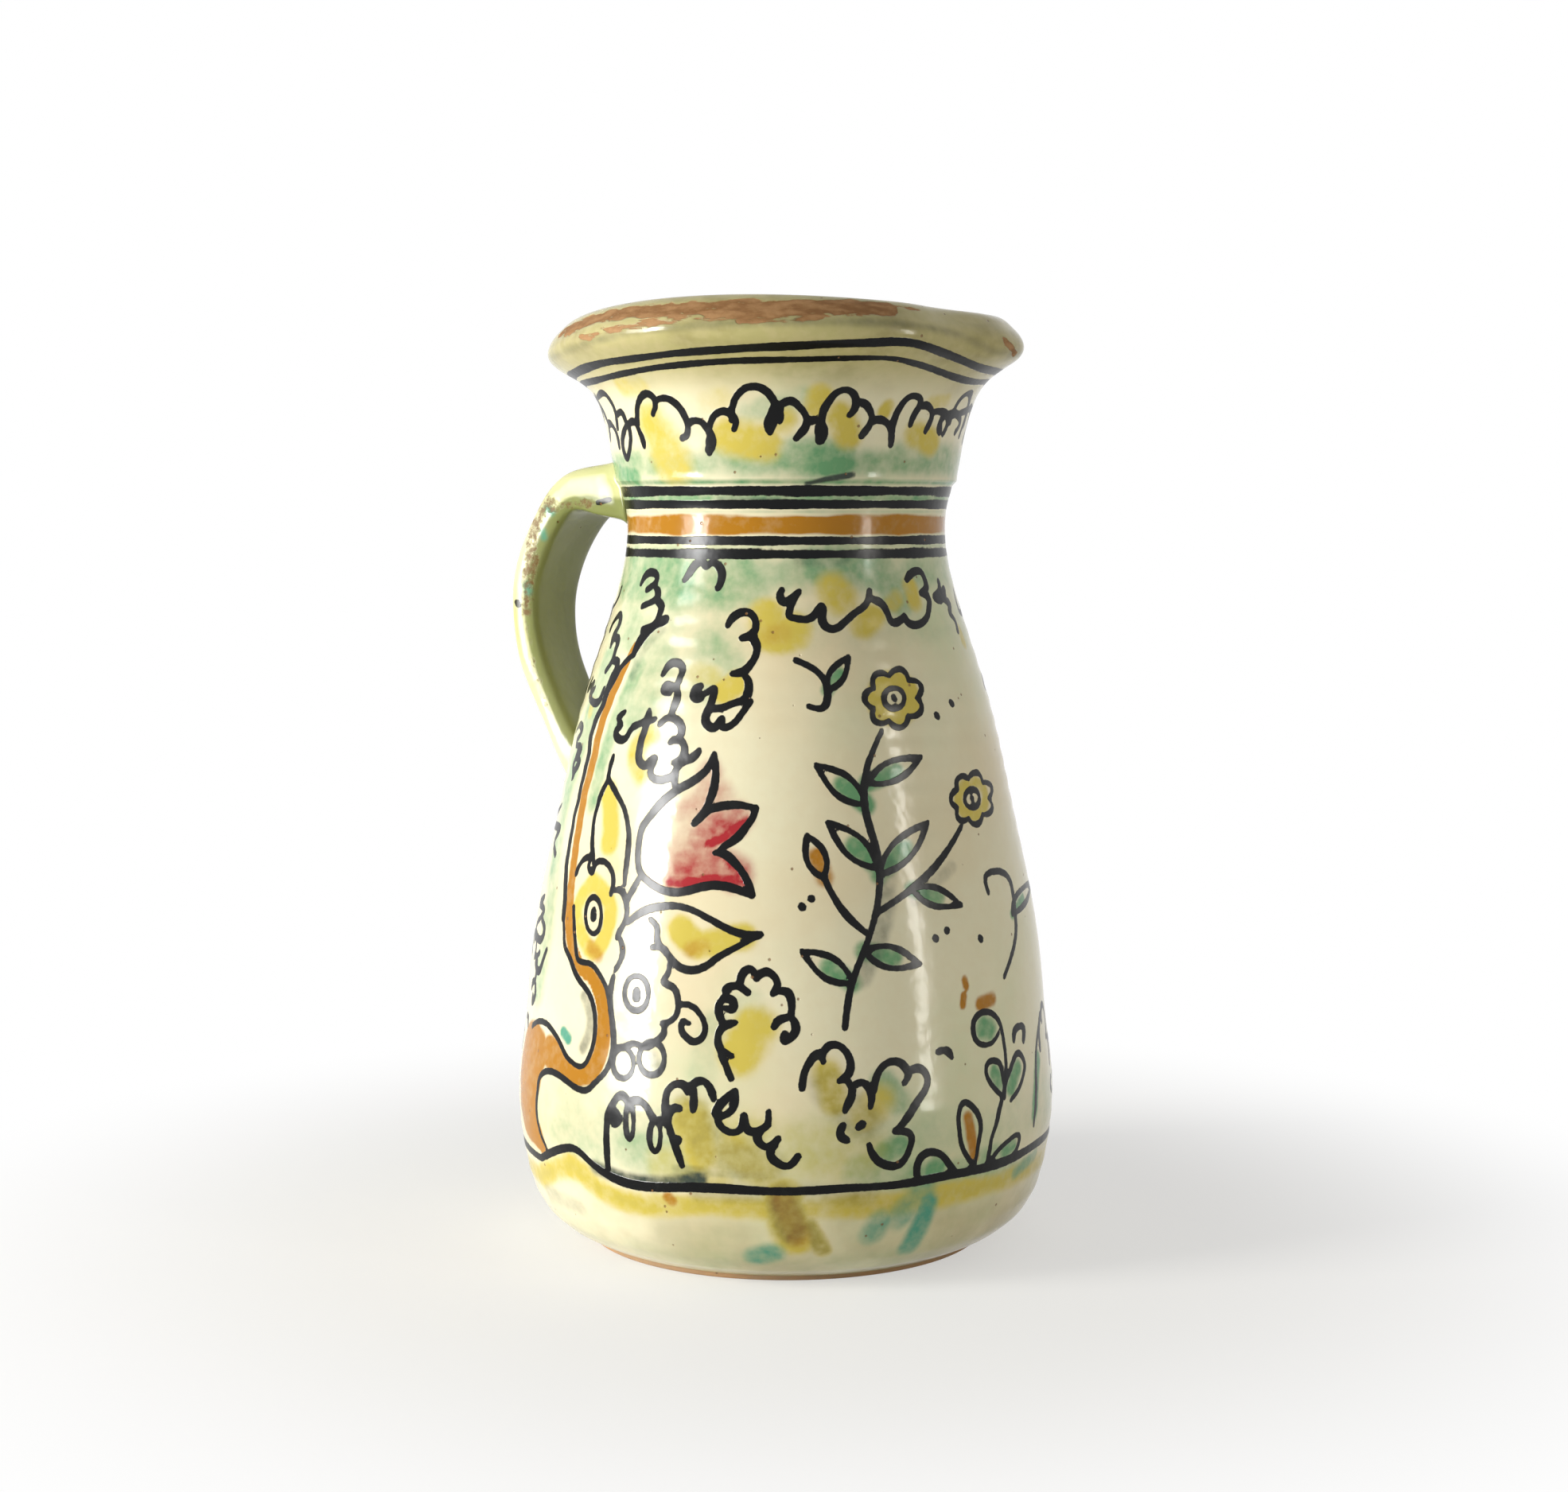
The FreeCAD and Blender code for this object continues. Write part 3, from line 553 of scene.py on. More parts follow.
GREY_WASHES = [
    (0.56, 18, [(984, 1508), (996, 1546)]),
    (0.45, 9, [(1016, 1540), (1034, 1572)]),
    (0.35, 14, [(880, 1500), (1090, 1504)]),
    (0.35, 12, [(690, 1500), (730, 1520)]),
    (0.36, 24, [(868, 1400), (900, 1450), (960, 1464)]),
    (0.36, 22, [(1040, 1364), (1086, 1412)]),
    (0.7, 8, [(748, 1468), (800, 1486), (880, 1482)]),
    (0.4, 6, [(850, 1470), (960, 1480)]),
    (0.5, 7, [(734, 1252), (742, 1290), (732, 1318)]),
    (0.5, 8, [(820, 1330), (826, 1340)]),
    (0.35, 7, [(832, 792), (806, 822), (796, 850)]),
    (0.8, 3, [(1014, 608), (1044, 602), (1072, 597)]),
    (0.45, 11, [(1084, 1230), (1110, 1160), (1116, 1090)]),
    (0.35, 8, [(1150, 1132), (1196, 1090)]),
    (0.35, 10, [(1008, 702), (1060, 700)]),
    (0.5, 4, [(905, 628), (985, 630)]),
]

# The washes by paint, and the order in which the paints lie over each other.
WASHES = {
    "green": GREEN_WASHES,
    "turquoise": TURQUOISE_WASHES,
    "yellow": YELLOW_WASHES,
    "orange": ORANGE_WASHES,
    "red": RED_WASHES,
    "grey": GREY_WASHES,
}
PAINT_ORDER = ("green", "yellow", "grey", "turquoise", "orange", "red")

# Where the glaze has worn off the rim, then the marks on the handle: wear, splashes and ink.
RIM_WEAR = [
    (0.8, 13, [(708, 417), (752, 400), (850, 389), (945, 383)]),
    (0.5, 7, [(730, 424), (800, 408), (880, 400), (940, 396)]),
    (1.0, 15, [(930, 390), (1000, 387), (1060, 386), (1116, 388)]),
    (0.7, 6, [(930, 402), (980, 400), (1030, 399)]),
    (0.5, 6, [(1120, 386), (1160, 388)]),
    (0.9, 5, [(1264, 428), (1272, 436), (1276, 446)]),
]
HANDLE_WEAR = [
    (0.9, 8, [(690, 630), (680, 646), (672, 666), (667, 690), (664, 730), (662, 768)]),
    (0.9, 7, [(672, 700), (668, 722)]),
    (0.75, 7, [(742, 634), (716, 634), (694, 642)]),
    (0.5, 4, [(662, 768), (668, 820), (676, 850), (690, 890)]),
]
HANDLE_SPLASHES = [
    (1.0, 5, [(688, 640), (692, 644)]),
    (0.9, 4, [(682, 668), (684, 676)]),
    (0.8, 5, [(662, 736), (664, 744)]),
]
HANDLE_INK = [[(752, 632), (766, 628)], [(650, 757), (652, 761)]]

# How finely the pieces and the painting are cut.
WALL_COLUMNS = 512
BODY_COLUMNS = 800
BODY_ROWS = 246
MOUTH_ROWS = 130
INSIDE_COLUMNS = 256
INSIDE_ROWS = 110
FLOOR_ROWS = 14
STRAP_ROWS = 220
STRAP_PARTS = 5
LINE_PARTS = 5
OVAL_POINTS = 13
RING_STEPS = 360
RUN_STEPS = 30

# How rays are followed to the wall: from how far before the axis to how far past it, in how many
# steps, and how often the lip's height is worked out again.
RAY_BEFORE_AXIS = 0.075
RAY_PAST_AXIS = 0.012
RAY_STEPS = 420
LIP_ROUNDS = 4

# How the thrown wall strays from round: an oval and three lobes that twist on their way up, and
# ridges that wander and come and go.
OVAL_START = 0.6
OVAL_TWIST = 14.0
LOBES_SHARE = 0.6
LOBES_START = 2.1
LOBES_TWIST = 22.0
RIDGE_PITCH = 0.0052
RIDGE_WANDER = 1.5
RIDGE_TWIST = 90.0
RIDGE_FADE = 55.0

# How far the mouth's coat goes below the throat, and how much of its own thickness the body's
# coat turns in at the foot.
MOUTH_INSIDE = 0.004
TUCK_SHARE = 0.9

# The strap's coat: the size of its fillets, how uneven it is, and the waves that make it so, each
# with its share, its waves up and across, and its start.
STRAP_FILLET = 0.0011
STRAP_UNEVEN = 0.00012
STRAP_WAVES = [(1.0, 260.0, 90.0, 0.0), (0.7, 95.0, -240.0, 1.0)]

# Brush lines: how large a pixel of the picture is on the jug in metres, half a line's width in
# pixels, how it thins at its ends, and how uneven it is.
PIXEL = 0.000167
LINE_HALF_WIDTH = 4.9
THIN_SHARE = 0.72
TAPER_LENGTH_SHARE = 0.16
TAPER_DEPTH_SHARE = 0.16
BRUSH_UNEVEN_SHARE = 0.12
BRUSH_WAVES = 9.0
BRUSH_START = 0.7
RING_UNEVEN = [(0.1, 5, 1), (0.06, 17, 2)]

# Washes: how far they spread past the brush, how strong they dry, and how soft the edges of each
# kind are, as shares of their half width.
WASH_WIDTH_SHARE = 1.4
WASH_STRENGTH_SHARE = 0.92
WASH_SOFT_SHARE = 0.62
TRUNK_SOFT_SHARE = 0.18
WEAR_SOFT_SHARE = 0.6
HANDLE_SOFT_SHARE = 0.8

# Distances from ink are kept in millimetres. They stop at the first of these, and a line's edge
# fades between the other two.
MILLIMETRES = 1000
FAR_FROM_INK = 3.0
INK_EDGE_OUT = 0.1
INK_EDGE_IN = -0.08

# What is too small to divide by, and how far the last place on a spline lies inside its end.
TINY = 1e-12
SPLINE_INSET = 1e-9

# Heights between which the glaze grows darker at the foot and yellower and darker at the mouth, and how far
# it does so at the mouth. The mouth's darker tone is partly painted shade over the rim.
FOOT_TONE_HIGH = 0.028
FOOT_TONE_LOW = 0.012
MOUTH_TONE_LOW = 0.188
MOUTH_TONE_HIGH = 0.199
MOUTH_TONE_SHARE = 0.8

# How deep the finishes are, and how strongly the glaze shines.
GLAZE_DEPTH = 0.00022
STRAP_GLAZE_DEPTH = 0.00025
CLAY_DEPTH = 0.0003
GLAZE_SHINE = 0.17

# How noise is stretched: not at all, flat, upright, into scratches and into turning marks.
EVEN = (1.0, 1.0, 1.0)
FLAT = (1.0, 1.0, 2.0)
UPRIGHT = (1.0, 1.0, 0.45)
SCRATCHED = (1.0, 1.0, 3.5)
TURNED = (0.05, 0.05, 1.0)

# Noise: how many clouds to the metre, how finely they break up, how they are stretched and how
# rough they are.
PAINT_CLOUD = (150.0, 3.0)
PAINT_STREAKS = (90.0, 2.0, UPRIGHT)
PAINT_GRAIN = (480.0, 3.0)
SCRATCHES = (240.0, 4.0, SCRATCHED)
WEAR_GRIT = (700.0, 3.0)
GLAZE_WAVES = (230.0, 2.0)
GLAZE_POLISH = (60.0, 3.0)
PLAIN_POLISH = (50.0, 3.0)
SPLASH_NOISE = (300.0, 3.0)
STRAP_NOISE = (200.0, 2.0)
CLAY_GRIT = (800.0, 3.0, EVEN, 0.7)
TURNING_MARKS = (300.0, 2.0, TURNED)

# Clouds of colour: their noise, where they begin, where they are full and how strong they are.
WARM_CLOUDS = ((24.0, 3.0), 0.4, 0.72, 0.75)
COOL_CLOUDS = ((17.0, 4.0), 0.48, 0.75, 0.75)
MOUTH_PATINA = ((70.0, 4.0, FLAT), 0.42, 0.7, 0.55)
FOOT_DIRT = ((55.0, 4.0), 0.38, 0.7, 0.4)
FINE_MOTTLE = ((420.0, 2.0), 0.35, 0.75, 0.16)
THIN_INK = ((210.0, 2.0), 0.56, 0.8, 0.6)
BARED_CLOUDS = (SCRATCHES, 0.35, 0.7, 1.0)
POOL_CLOUDS = ((40.0, 3.0), 0.45, 0.7, 0.4)
STRAP_CREAM_CLOUDS = ((30.0, 3.0), 0.35, 0.7, 0.7)
STRAP_YELLOW_CLOUDS = ((45.0, 4.0), 0.5, 0.75, 0.35)
CLAY_CLOUDS = ((45.0, 3.0), 0.35, 0.7, 1.0)

# Noise that moves an edge to and fro: the noise, and how far it moves it.
INK_STRAY = ((900.0, 2.0), 0.3)
WEAR_STRAY = (SCRATCHES, 1.5)
# INSIDE_STRAY moves the edge of the strap's inner face, whose darker olive is partly painted shade.
INSIDE_STRAY = ((120.0, 3.0), 0.3)
STRAP_WEAR_STRAY = ((620.0, 5.0, EVEN, 0.7), 2.4)

# Where paint, wear and the strap's inner face begin to show, and where they are full.
PAINT_STARTS = 0.1
PAINT_FULL = 0.82
WEAR_STARTS = 0.42
WEAR_FULL = 0.6
# The strap's inner face, whose darker olive is partly painted shade.
INSIDE_STARTS = 0.12
INSIDE_FULL = 0.34
STRAP_WEAR_STARTS = 0.5
STRAP_WEAR_FULL = 1.1
PALE_GRIT_STARTS = 0.45
PALE_GRIT_FULL = 0.75

# Specks: how many to the metre, how large they are in their cell, how rare, and at what share of
# their radius they are full.
PAINTED_PINHOLES = (330.0, 0.13, 0.85)
PLAIN_PINHOLES = (300.0, 0.12, 0.85)
STRAP_PINHOLES = (300.0, 0.13, 0.86)
CLAY_SPECKS = (420.0, 0.2, 0.8)
SPECK_EDGE_SHARE = 0.6

# How strongly each of these colours what it lies on, and how dark the clay's specks are.
PAINTED_PINHOLE_SHADE = 0.75
PLAIN_PINHOLE_SHADE = 0.7
STRAP_PINHOLE_SHADE = 0.8
WEAR_GRIT_SHADE = 0.6
# How strongly the strap's inner face turns olive, partly as painted shade.
INNER_FACE_OLIVE_AND_SHADE = 0.85
STRAP_WEAR_SHADE = 0.85
STRAP_INK_SHADE = 0.95
PALE_GRIT_SHADE = 0.5
CLAY_SPECK_SHADE = 0.6
SPECK_SHADE_SHARE = 0.3

# How patchy and how dense the paint is, how rough each finish is and how it stands out: a base,
# and then shares of what it depends on.
PATCHY_SHARES = (0.2, 0.9, 0.3, 0.4)
DENSE_SHARES = (0.65, 0.3, 0.4)
SPLASH_SHARES = (0.6, 0.7)
PAINTED_ROUGHNESS = (0.1, 0.09, 0.12, 0.5)
PLAIN_ROUGHNESS = (0.12, 0.1)
STRAP_ROUGHNESS = (0.14, 0.1, 0.35)
CLAY_ROUGHNESS = (0.78, 0.15)
PAINTED_RELIEF = (0.0, 0.5, 0.25, -0.9, -0.8, 0.6)
PLAIN_RELIEF = (0.0, 0.5, -0.8)
STRAP_RELIEF = (0.0, 0.6, -0.8, -0.4)
CLAY_RELIEF = (0.0, 0.6, 0.4, -0.4)

# The floor, and where it fades into the background.
FLOOR_SIZE = 4.0
FLOOR_FADE_START = 0.09
FLOOR_FADE_END = 0.24
FLOOR_GLOW = 0.5
FLOOR_CLOUD_SCALE = 3.0
FLOOR_CLOUD_SHARE = 0.3
FLOOR_ROUGHNESS = 0.9

# The camera sees from its distance divided by this to its distance times this.
CLIP_SHARE = 20

# The lamps: name, degrees round the jug, height, width and length, the power they take and what
# share of it, and colour. All stand as far from the axis and aim at one height of it.
LAMP_AIM = 0.1
LAMP_AWAY = 0.95
LAMPS = [
    ("left_box", -134.0, 0.12, (0.3, 0.9), "key_power", 1.0, (1.0, 0.99, 0.96)),
    ("right_box", -4.0, 0.2, (0.16, 0.8), "side_power", 1.0, (1.0, 0.94, 0.84)),
    ("left_strip", -128.0, 0.14, (0.16, 0.48), "strip_power", 1.0, (1.0, 1.0, 1.0)),
    ("right_strip", -6.0, 0.2, (0.07, 0.5), "strip_power", 0.2, (1.0, 0.98, 0.94)),
]

# How a picture's brightness follows light: a straight part, then a power.
TONE_KNEE = 0.04045
TONE_SLOPE = 12.92
TONE_LIFT = 0.055
TONE_POWER = 2.4
BRIGHTEST = 255


def length(name, description, value):
    """A length property in metres."""
    return FloatProperty(name=name, description=description, default=value, unit="LENGTH", precision=4)


def angle(name, description, degrees):
    """An angle property."""
    return FloatProperty(
        name=name, description=description, default=math.radians(degrees), unit="ROTATION"
    )


def share(name, description, value):
    """A property that is a plain number."""
    return FloatProperty(name=name, description=description, default=value)


def linear(value):
    """A share of a picture's brightness as a share of light."""
    if value <= TONE_KNEE:
        return value / TONE_SLOPE
    return ((value + TONE_LIFT) / (1 + TONE_LIFT)) ** TONE_POWER


def rgb(red, green, blue):
    """A colour as a picture shows it, each part from 0 to 255, as shares of light."""
    return tuple(linear(value / BRIGHTEST) for value in (red, green, blue))


def colour(name, description, red, green, blue):
    """A colour property."""
    return FloatVectorProperty(
        name=name,
        description=description,
        default=rgb(red, green, blue),
        subtype="COLOR",
        size=3,
        min=0.0,
        max=1.0,
    )


class JugWallSizes(bpy.types.PropertyGroup):
    """The wall's sizes over its glaze."""

    foot_radius: length("Foot radius", "Radius of the coat where it stops at the foot", 0.0462)
    foot_height: length("Foot height", "Height at which the coat stops", 0.0012)
    belly_radius: length("Belly radius", "Widest radius of the body", 0.0617)
    belly_height: length("Belly height", "Height of the widest place", 0.036)
    neck_radius: length("Neck radius", "Narrowest outside radius of the neck", 0.0363)
    shoulder_rise: length("Shoulder rise", "From the belly up to the neck", 0.128)
    ledge_radius: length("Ledge radius", "Radius of the ledge above the neck", 0.0379)
    ledge_rise: length("Ledge rise", "From the neck up to the ledge", 0.0078)
    ledge_step: length("Ledge step", "How far the collar steps out and up over the ledge", 0.0009)
    rim_radius: length("Rim radius", "Widest radius of the mouth", 0.0539)
    rim_rise: length("Rim rise", "From the ledge up to the widest place of the mouth", 0.031)
    crest_radius: length("Crest radius", "Radius of the rim's highest line", 0.047)
    crest_rise: length("Crest rise", "From the widest place up to the crest", 0.007)
    throat_radius: length("Throat radius", "Inside radius under the crest", 0.043)
    throat_drop: length("Throat drop", "From the crest down to the throat", 0.005)
    wall_thickness: length("Wall thickness", "Thickness of the wall with its coats", 0.0053)
    floor_thickness: length("Floor thickness", "Thickness of the floor with its coat", 0.0075)
    floor_radius: length("Floor radius", "Radius of the floor's flat part", 0.037)
    coat: length("Coat", "Thickness of the glaze", 0.0005)
    spout_reach: length("Lip reach", "How far the lip stands out", 0.0018)
    spout_pinch: length("Lip pinch", "How far the sides of the lip are pressed in", 0.0013)
    spout_dip: length("Lip dip", "How far the lip dips", 0.0005)
    saddle_rise: length("Saddle rise", "How far the rim's sides rise over its front and back", 0.0014)
    rim_tilt: length("Rim tilt", "How far the rim rises towards the lip", 0.001)
    spout_drop: length("Lip drop", "How far below the rim the lip's shape starts", 0.013)
    wobble: length("Wobble", "How far the thrown wall strays from round", 0.00016)
    ridge: length("Throwing ridges", "Height of the throwing ridges", 0.00007)


class JugHandleSizes(bpy.types.PropertyGroup):
    """The strap handle's sizes over its glaze."""

    root_rise: length("Root rise", "From the neck up to the handle's root", 0.0063)
    reach_drop: length("Reach drop", "From the root down to the furthest reach", 0.0258)
    stand_out: length("Stand-out", "From the wall to the strap's middle line", 0.0244)
    drop: length("Drop", "From the root down to the tail", 0.0683)
    tail_depth: length("Tail depth", "How deep the strap's end lies in the wall", 0.006)
    width: length("Width", "Width of the strap", 0.02)
    thickness: length("Thickness", "Thickness of the strap", 0.0056)
    slip_spread: length("Slip spread", "How far the slip stands out round the ends", 0.0012)
    sink: length("Sink", "How far the coat's ends reach into the wall", 0.0024)


class JugLook(bpy.types.PropertyGroup):
    """Colours of the clay, the glaze and the paint."""

    cream: colour("Cream", "The tin glaze", 222, 216, 184)
    warm: colour("Warm cream", "Warmer parts of the tin glaze", 216, 200, 162)
    cool: colour("Cool cream", "Greener parts of the tin glaze", 190, 202, 156)
    # Yellower glaze at the mouth, made darker in part as painted shade over the rim.
    rim: colour("Rim", "Yellower glaze on the mouth and the rim", 166, 156, 92)
    olive: colour("Olive", "Dirt and pooled glaze on the rim", 132, 124, 76)
    ink: colour("Ink", "The brush lines", 7, 8, 9)
    thin_ink: colour("Thin ink", "Watery parts of the brush lines", 24, 27, 26)
    green: colour("Green", "The green wash", 100, 150, 104)
    turquoise: colour("Turquoise", "Drips of strong green", 80, 148, 124)
    yellow: colour("Yellow", "The yellow wash", 198, 180, 80)
    orange: colour("Orange", "The trunk and the ochre band", 166, 112, 20)
    red: colour("Red", "The red petals", 160, 40, 46)
    # Grey also darkens the groove in the rim roll as painted shade.
    grey: colour("Grey", "Thinned black", 60, 70, 62)
    clay: colour("Clay", "Bare fired clay", 132, 94, 56)
    bare: colour("Bare foot", "Clay at the foot", 160, 130, 96)
    pale_clay: colour("Pale clay", "Paler parts of the clay", 176, 136, 92)
    handle: colour("Handle", "The handle's glaze", 186, 188, 128)
    # Partly the inner face's own olive glaze and partly painted shade where the strap faces the body.
    handle_side_olive_and_shade: colour("Handle inside", "Darker glaze on the handle's inner face", 112, 120, 62)
    wear: colour("Handle wear", "Brown wear along the handle's edge", 108, 72, 30)


class JugStudio(bpy.types.PropertyGroup):
    """The camera, the lamps and the floor."""

    turn: angle("Turn", "How far the camera stands round the jug", 25.0)
    pitch: angle("Pitch", "How far the camera looks down", 5.16)
    distance: length("Distance", "From the jug's axis to the camera", 0.6015)
    height: length("Height", "Height of the camera", 0.1665)
    slide: length("Slide", "How far the camera is moved to its left", 0.000456)
    focal_pixels: share("Focal length", "Focal length in pixels of the picture", 3300.0)
    sensor: share("Sensor width", "Width of the camera's sensor in millimetres", 36.0)
    ambient: share("Ambient light", "Strength of the light from all round", 0.36)
    key_power: share("Key power", "Power of the tall soft box on the left", 19.0)
    side_power: share("Side power", "Power of the narrow soft box on the right", 1.7)
    strip_power: share("Strip power", "Power of the strips that only shine in the glaze", 14.5)
    floor: colour("Floor", "The floor", 243, 241, 236)
    floor_shade: colour("Floor shade", "Darker parts of the floor", 236, 234, 228)


class Wall:
    """The glazed wall: an outline turned round Z, with the pouring lip pressed into it."""

    def __init__(self, sizes):
        self.sizes = sizes
        self.marks = {}
        points = self.outline()
        curve = smooth_curve(points, CURVE_PARTS)
        steps = np.linalg.norm(np.diff(curve, axis=0), axis=1)
        self.stations = np.concatenate([[0.0], np.cumsum(steps)])
        self.radii = curve[:, 0]
        self.heights = curve[:, 1]
        self.outer = slice(0, self.marks["crest"] * CURVE_PARTS + 1)

    def outline(self):
        """Radius and height of the outline's points, from the foot over the rim to the floor."""
        size = self.sizes
        neck_height = size.belly_height + size.shoulder_rise
        ledge_height = neck_height + size.ledge_rise
        rim_height = ledge_height + size.rim_rise
        crest_height = rim_height + size.crest_rise
        self.rim_height = rim_height
        foot = (size.foot_radius, size.foot_height)
        belly = (size.belly_radius, size.belly_height)
        neck = (size.neck_radius, neck_height)
        ledge = (size.ledge_radius, ledge_height)
        collar = (size.ledge_radius + size.ledge_step, ledge_height + size.ledge_step)
        rim = (size.rim_radius, rim_height)
        crest = (size.crest_radius, crest_height)
        throat = (size.throat_radius, crest_height - size.throat_drop)
        inner_neck = (size.neck_radius - size.wall_thickness, neck_height)
        inner_belly = (size.belly_radius - size.wall_thickness, size.belly_height)
        floor = (size.floor_radius, size.floor_thickness)
        points = []
        for name, start, end, shares in (
            ("foot", foot, belly, HEEL_SHARES),
            ("belly", belly, neck, FLANK_SHARES),
            ("neck", neck, ledge, NECK_SHARES),
            ("collar", collar, rim, FLARE_SHARES),
            ("rim", rim, crest, RIM_SHARES),
            ("crest", crest, throat, CREST_SHARES),
            ("throat", throat, inner_neck, THROAT_SHARES),
        ):
            self.marks[name] = len(points)
            points += between(start, end, shares)
        points.append(inner_neck)
        points += reversed(between(inner_belly, inner_neck, FLANK_SHARES))
        points += between(inner_belly, floor, BASIN_SHARES)
        self.marks["floor"] = len(points) - 1
        return points

    def station(self, mark):
        """How far along the outline a named place is."""
        return self.stations[self.marks[mark] * CURVE_PARTS]

    def lip(self, turns, heights):
        """How far the pouring lip moves the wall out and up, at each turn and height."""
        size = self.sizes
        weight = smooth_step((heights - self.rim_height + size.spout_drop) / size.spout_drop)
        degrees = np.abs((np.degrees(turns) + 180) % 360 - 180)
        reach = size.spout_reach * swell(degrees, 0, SPOUT_TIP_SPAN)
        pinch = size.spout_pinch * swell(degrees, SPOUT_PINCH_ANGLE, SPOUT_PINCH_SPAN)
        dip = size.spout_dip * swell(degrees, 0, SPOUT_DIP_SPAN)
        rise = size.rim_tilt * np.cos(turns) - size.saddle_rise * np.cos(2 * turns)
        return weight * (reach - pinch), weight * (rise - dip)

    def unevenness(self, turns, stations):
        """How far the thrown wall strays from its outline."""
        size = self.sizes
        stray = np.cos(2 * turns + OVAL_START + OVAL_TWIST * stations)
        stray = stray + LOBES_SHARE * np.cos(3 * turns + LOBES_START - LOBES_TWIST * stations)
        wander = RIDGE_WANDER * np.cos(turns + RIDGE_TWIST * stations)
        ridges = np.sin(math.tau * stations / RIDGE_PITCH + wander)
        ridges = ridges * (1 + np.sin(RIDGE_FADE * stations + 1)) / 2
        return size.wobble * stray / (1 + LOBES_SHARE) + size.ridge * ridges

    def place(self, turns, stations):
        """Points of the wall at each turn round the axis and station along the outline."""
        radii = np.interp(stations, self.stations, self.radii)
        heights = np.interp(stations, self.stations, self.heights)
        out, up = self.lip(turns, heights)
        radii = radii + out + self.unevenness(turns, stations)
        return np.stack([radii * np.cos(turns), radii * np.sin(turns), heights + up], axis=-1)

    def outside_radius(self, heights):
        """The outside radius at each height below the pouring lip."""
        return np.interp(heights, self.heights[self.outer], self.radii[self.outer])

    def meet(self, origin, directions):
        """Turns and stations where rays from the origin first meet the outside of the wall."""
        reach = np.linalg.norm(origin[:2])
        depths = np.linspace(reach - RAY_BEFORE_AXIS, reach + RAY_PAST_AXIS, RAY_STEPS)
        flat = directions / np.linalg.norm(directions[:, :2], axis=1)[:, None]
        points = origin + flat[:, None, :] * depths[None, :, None]
        turns = np.arctan2(points[..., 1], points[..., 0])
        heights = points[..., 2]
        for _ in range(LIP_ROUNDS):
            out, up = self.lip(turns, heights)
            heights = points[..., 2] - up
        radii = np.interp(heights, self.heights[self.outer], self.radii[self.outer], right=0.0)
        gaps = np.hypot(points[..., 0], points[..., 1]) - radii - out
        found_turns = np.empty(len(directions))
        found_heights = np.empty(len(directions))
        for index, gap in enumerate(gaps):
            inside = np.nonzero(gap < 0)[0]
            if len(inside) and inside[0] > 0:
                last = inside[0]
                part = gap[last - 1] / (gap[last - 1] - gap[last])
                low, high = last - 1, last
            else:
                low = high = int(np.argmin(gap))
                part = 0.0
            found_turns[index] = turns[index, low] + part * (turns[index, high] - turns[index, low])
            found_heights[index] = (
                heights[index, low] + part * (heights[index, high] - heights[index, low])
            )
        stations = np.interp(found_heights, self.heights[self.outer], self.stations[self.outer])
        return found_turns, stations


class Picture:
    """The camera's picture, and the rays through its pixels."""

    def __init__(self, studio):
        turn, pitch = studio.turn, studio.pitch
        self.across = np.array([math.cos(turn), math.sin(turn), 0.0])
        level = np.array([-math.sin(turn), math.cos(turn), 0.0])
        up = np.array([0.0, 0.0, 1.0])
        self.ahead = level * math.cos(pitch) - up * math.sin(pitch)
        self.up = level * math.sin(pitch) + up * math.cos(pitch)
        self.origin = up * studio.height - level * studio.distance - self.across * studio.slide
        self.focal = studio.focal_pixels

    def rays(self, places):
        """Directions of the rays through places in the picture."""
        places = np.asarray(places, float)
        right = (places[:, 0] - PICTURE_WIDTH / 2) / self.focal
        down = (places[:, 1] - PICTURE_HEIGHT / 2) / self.focal
        return self.ahead + right[:, None] * self.across - down[:, None] * self.up

    def places(self, points):
        """Where points show in the picture."""
        steps = points - self.origin
        depth = steps @ self.ahead
        across = PICTURE_WIDTH / 2 + self.focal * (steps @ self.across) / depth
        down = PICTURE_HEIGHT / 2 - self.focal * (steps @ self.up) / depth
        return np.stack([across, down, np.zeros(len(points))], axis=-1)


def between(start, end, shares):
    """Points at the given shares of the way from start to end."""
    return [
        (start[0] + (end[0] - start[0]) * across, start[1] + (end[1] - start[1]) * up)
        for across, up in shares
    ]


def smooth_step(values):
    """Eased shares between 0 and 1."""
    values = np.clip(values, 0.0, 1.0)
    return values * values * (3 - 2 * values)


def swell(degrees, centre, span):
    """A smooth bump over the angles within the span of the centre."""
    shares = np.clip((degrees - centre) / span, -1.0, 1.0)
    return (1 + np.cos(math.pi * shares)) / 2


def smooth_curve(points, parts):
    """A smooth curve through points, cut into equal parts between each two."""
    points = np.asarray(points, float)
    if len(points) < 3:
        shares = np.linspace(0, 1, parts + 1)[:, None]
        return points[0] + (points[-1] - points[0]) * shares
    steps = np.linalg.norm(np.diff(points, axis=0), axis=1)
    system = np.eye(len(points))
    pull = np.zeros_like(points)
    for index in range(1, len(points) - 1):
        before, after = steps[index - 1], steps[index]
        system[index, index - 1 : index + 2] = before, 2 * (before + after), after
        slope_after = (points[index + 1] - points[index]) / after
        slope_before = (points[index] - points[index - 1]) / before
        pull[index] = 6 * (slope_after - slope_before)
    bends = np.linalg.solve(system, pull)
    shares = np.linspace(0, 1, parts, endpoint=False)[:, None]
    left = 1 - shares
    pieces = []
    for index, step in enumerate(steps):
        straight = left * points[index] + shares * points[index + 1]
        bent = (left**3 - left) * bends[index] + (shares**3 - shares) * bends[index + 1]
        pieces.append(straight + bent * step * step / 6)
    pieces.append(points[-1:])
    return np.concatenate(pieces)


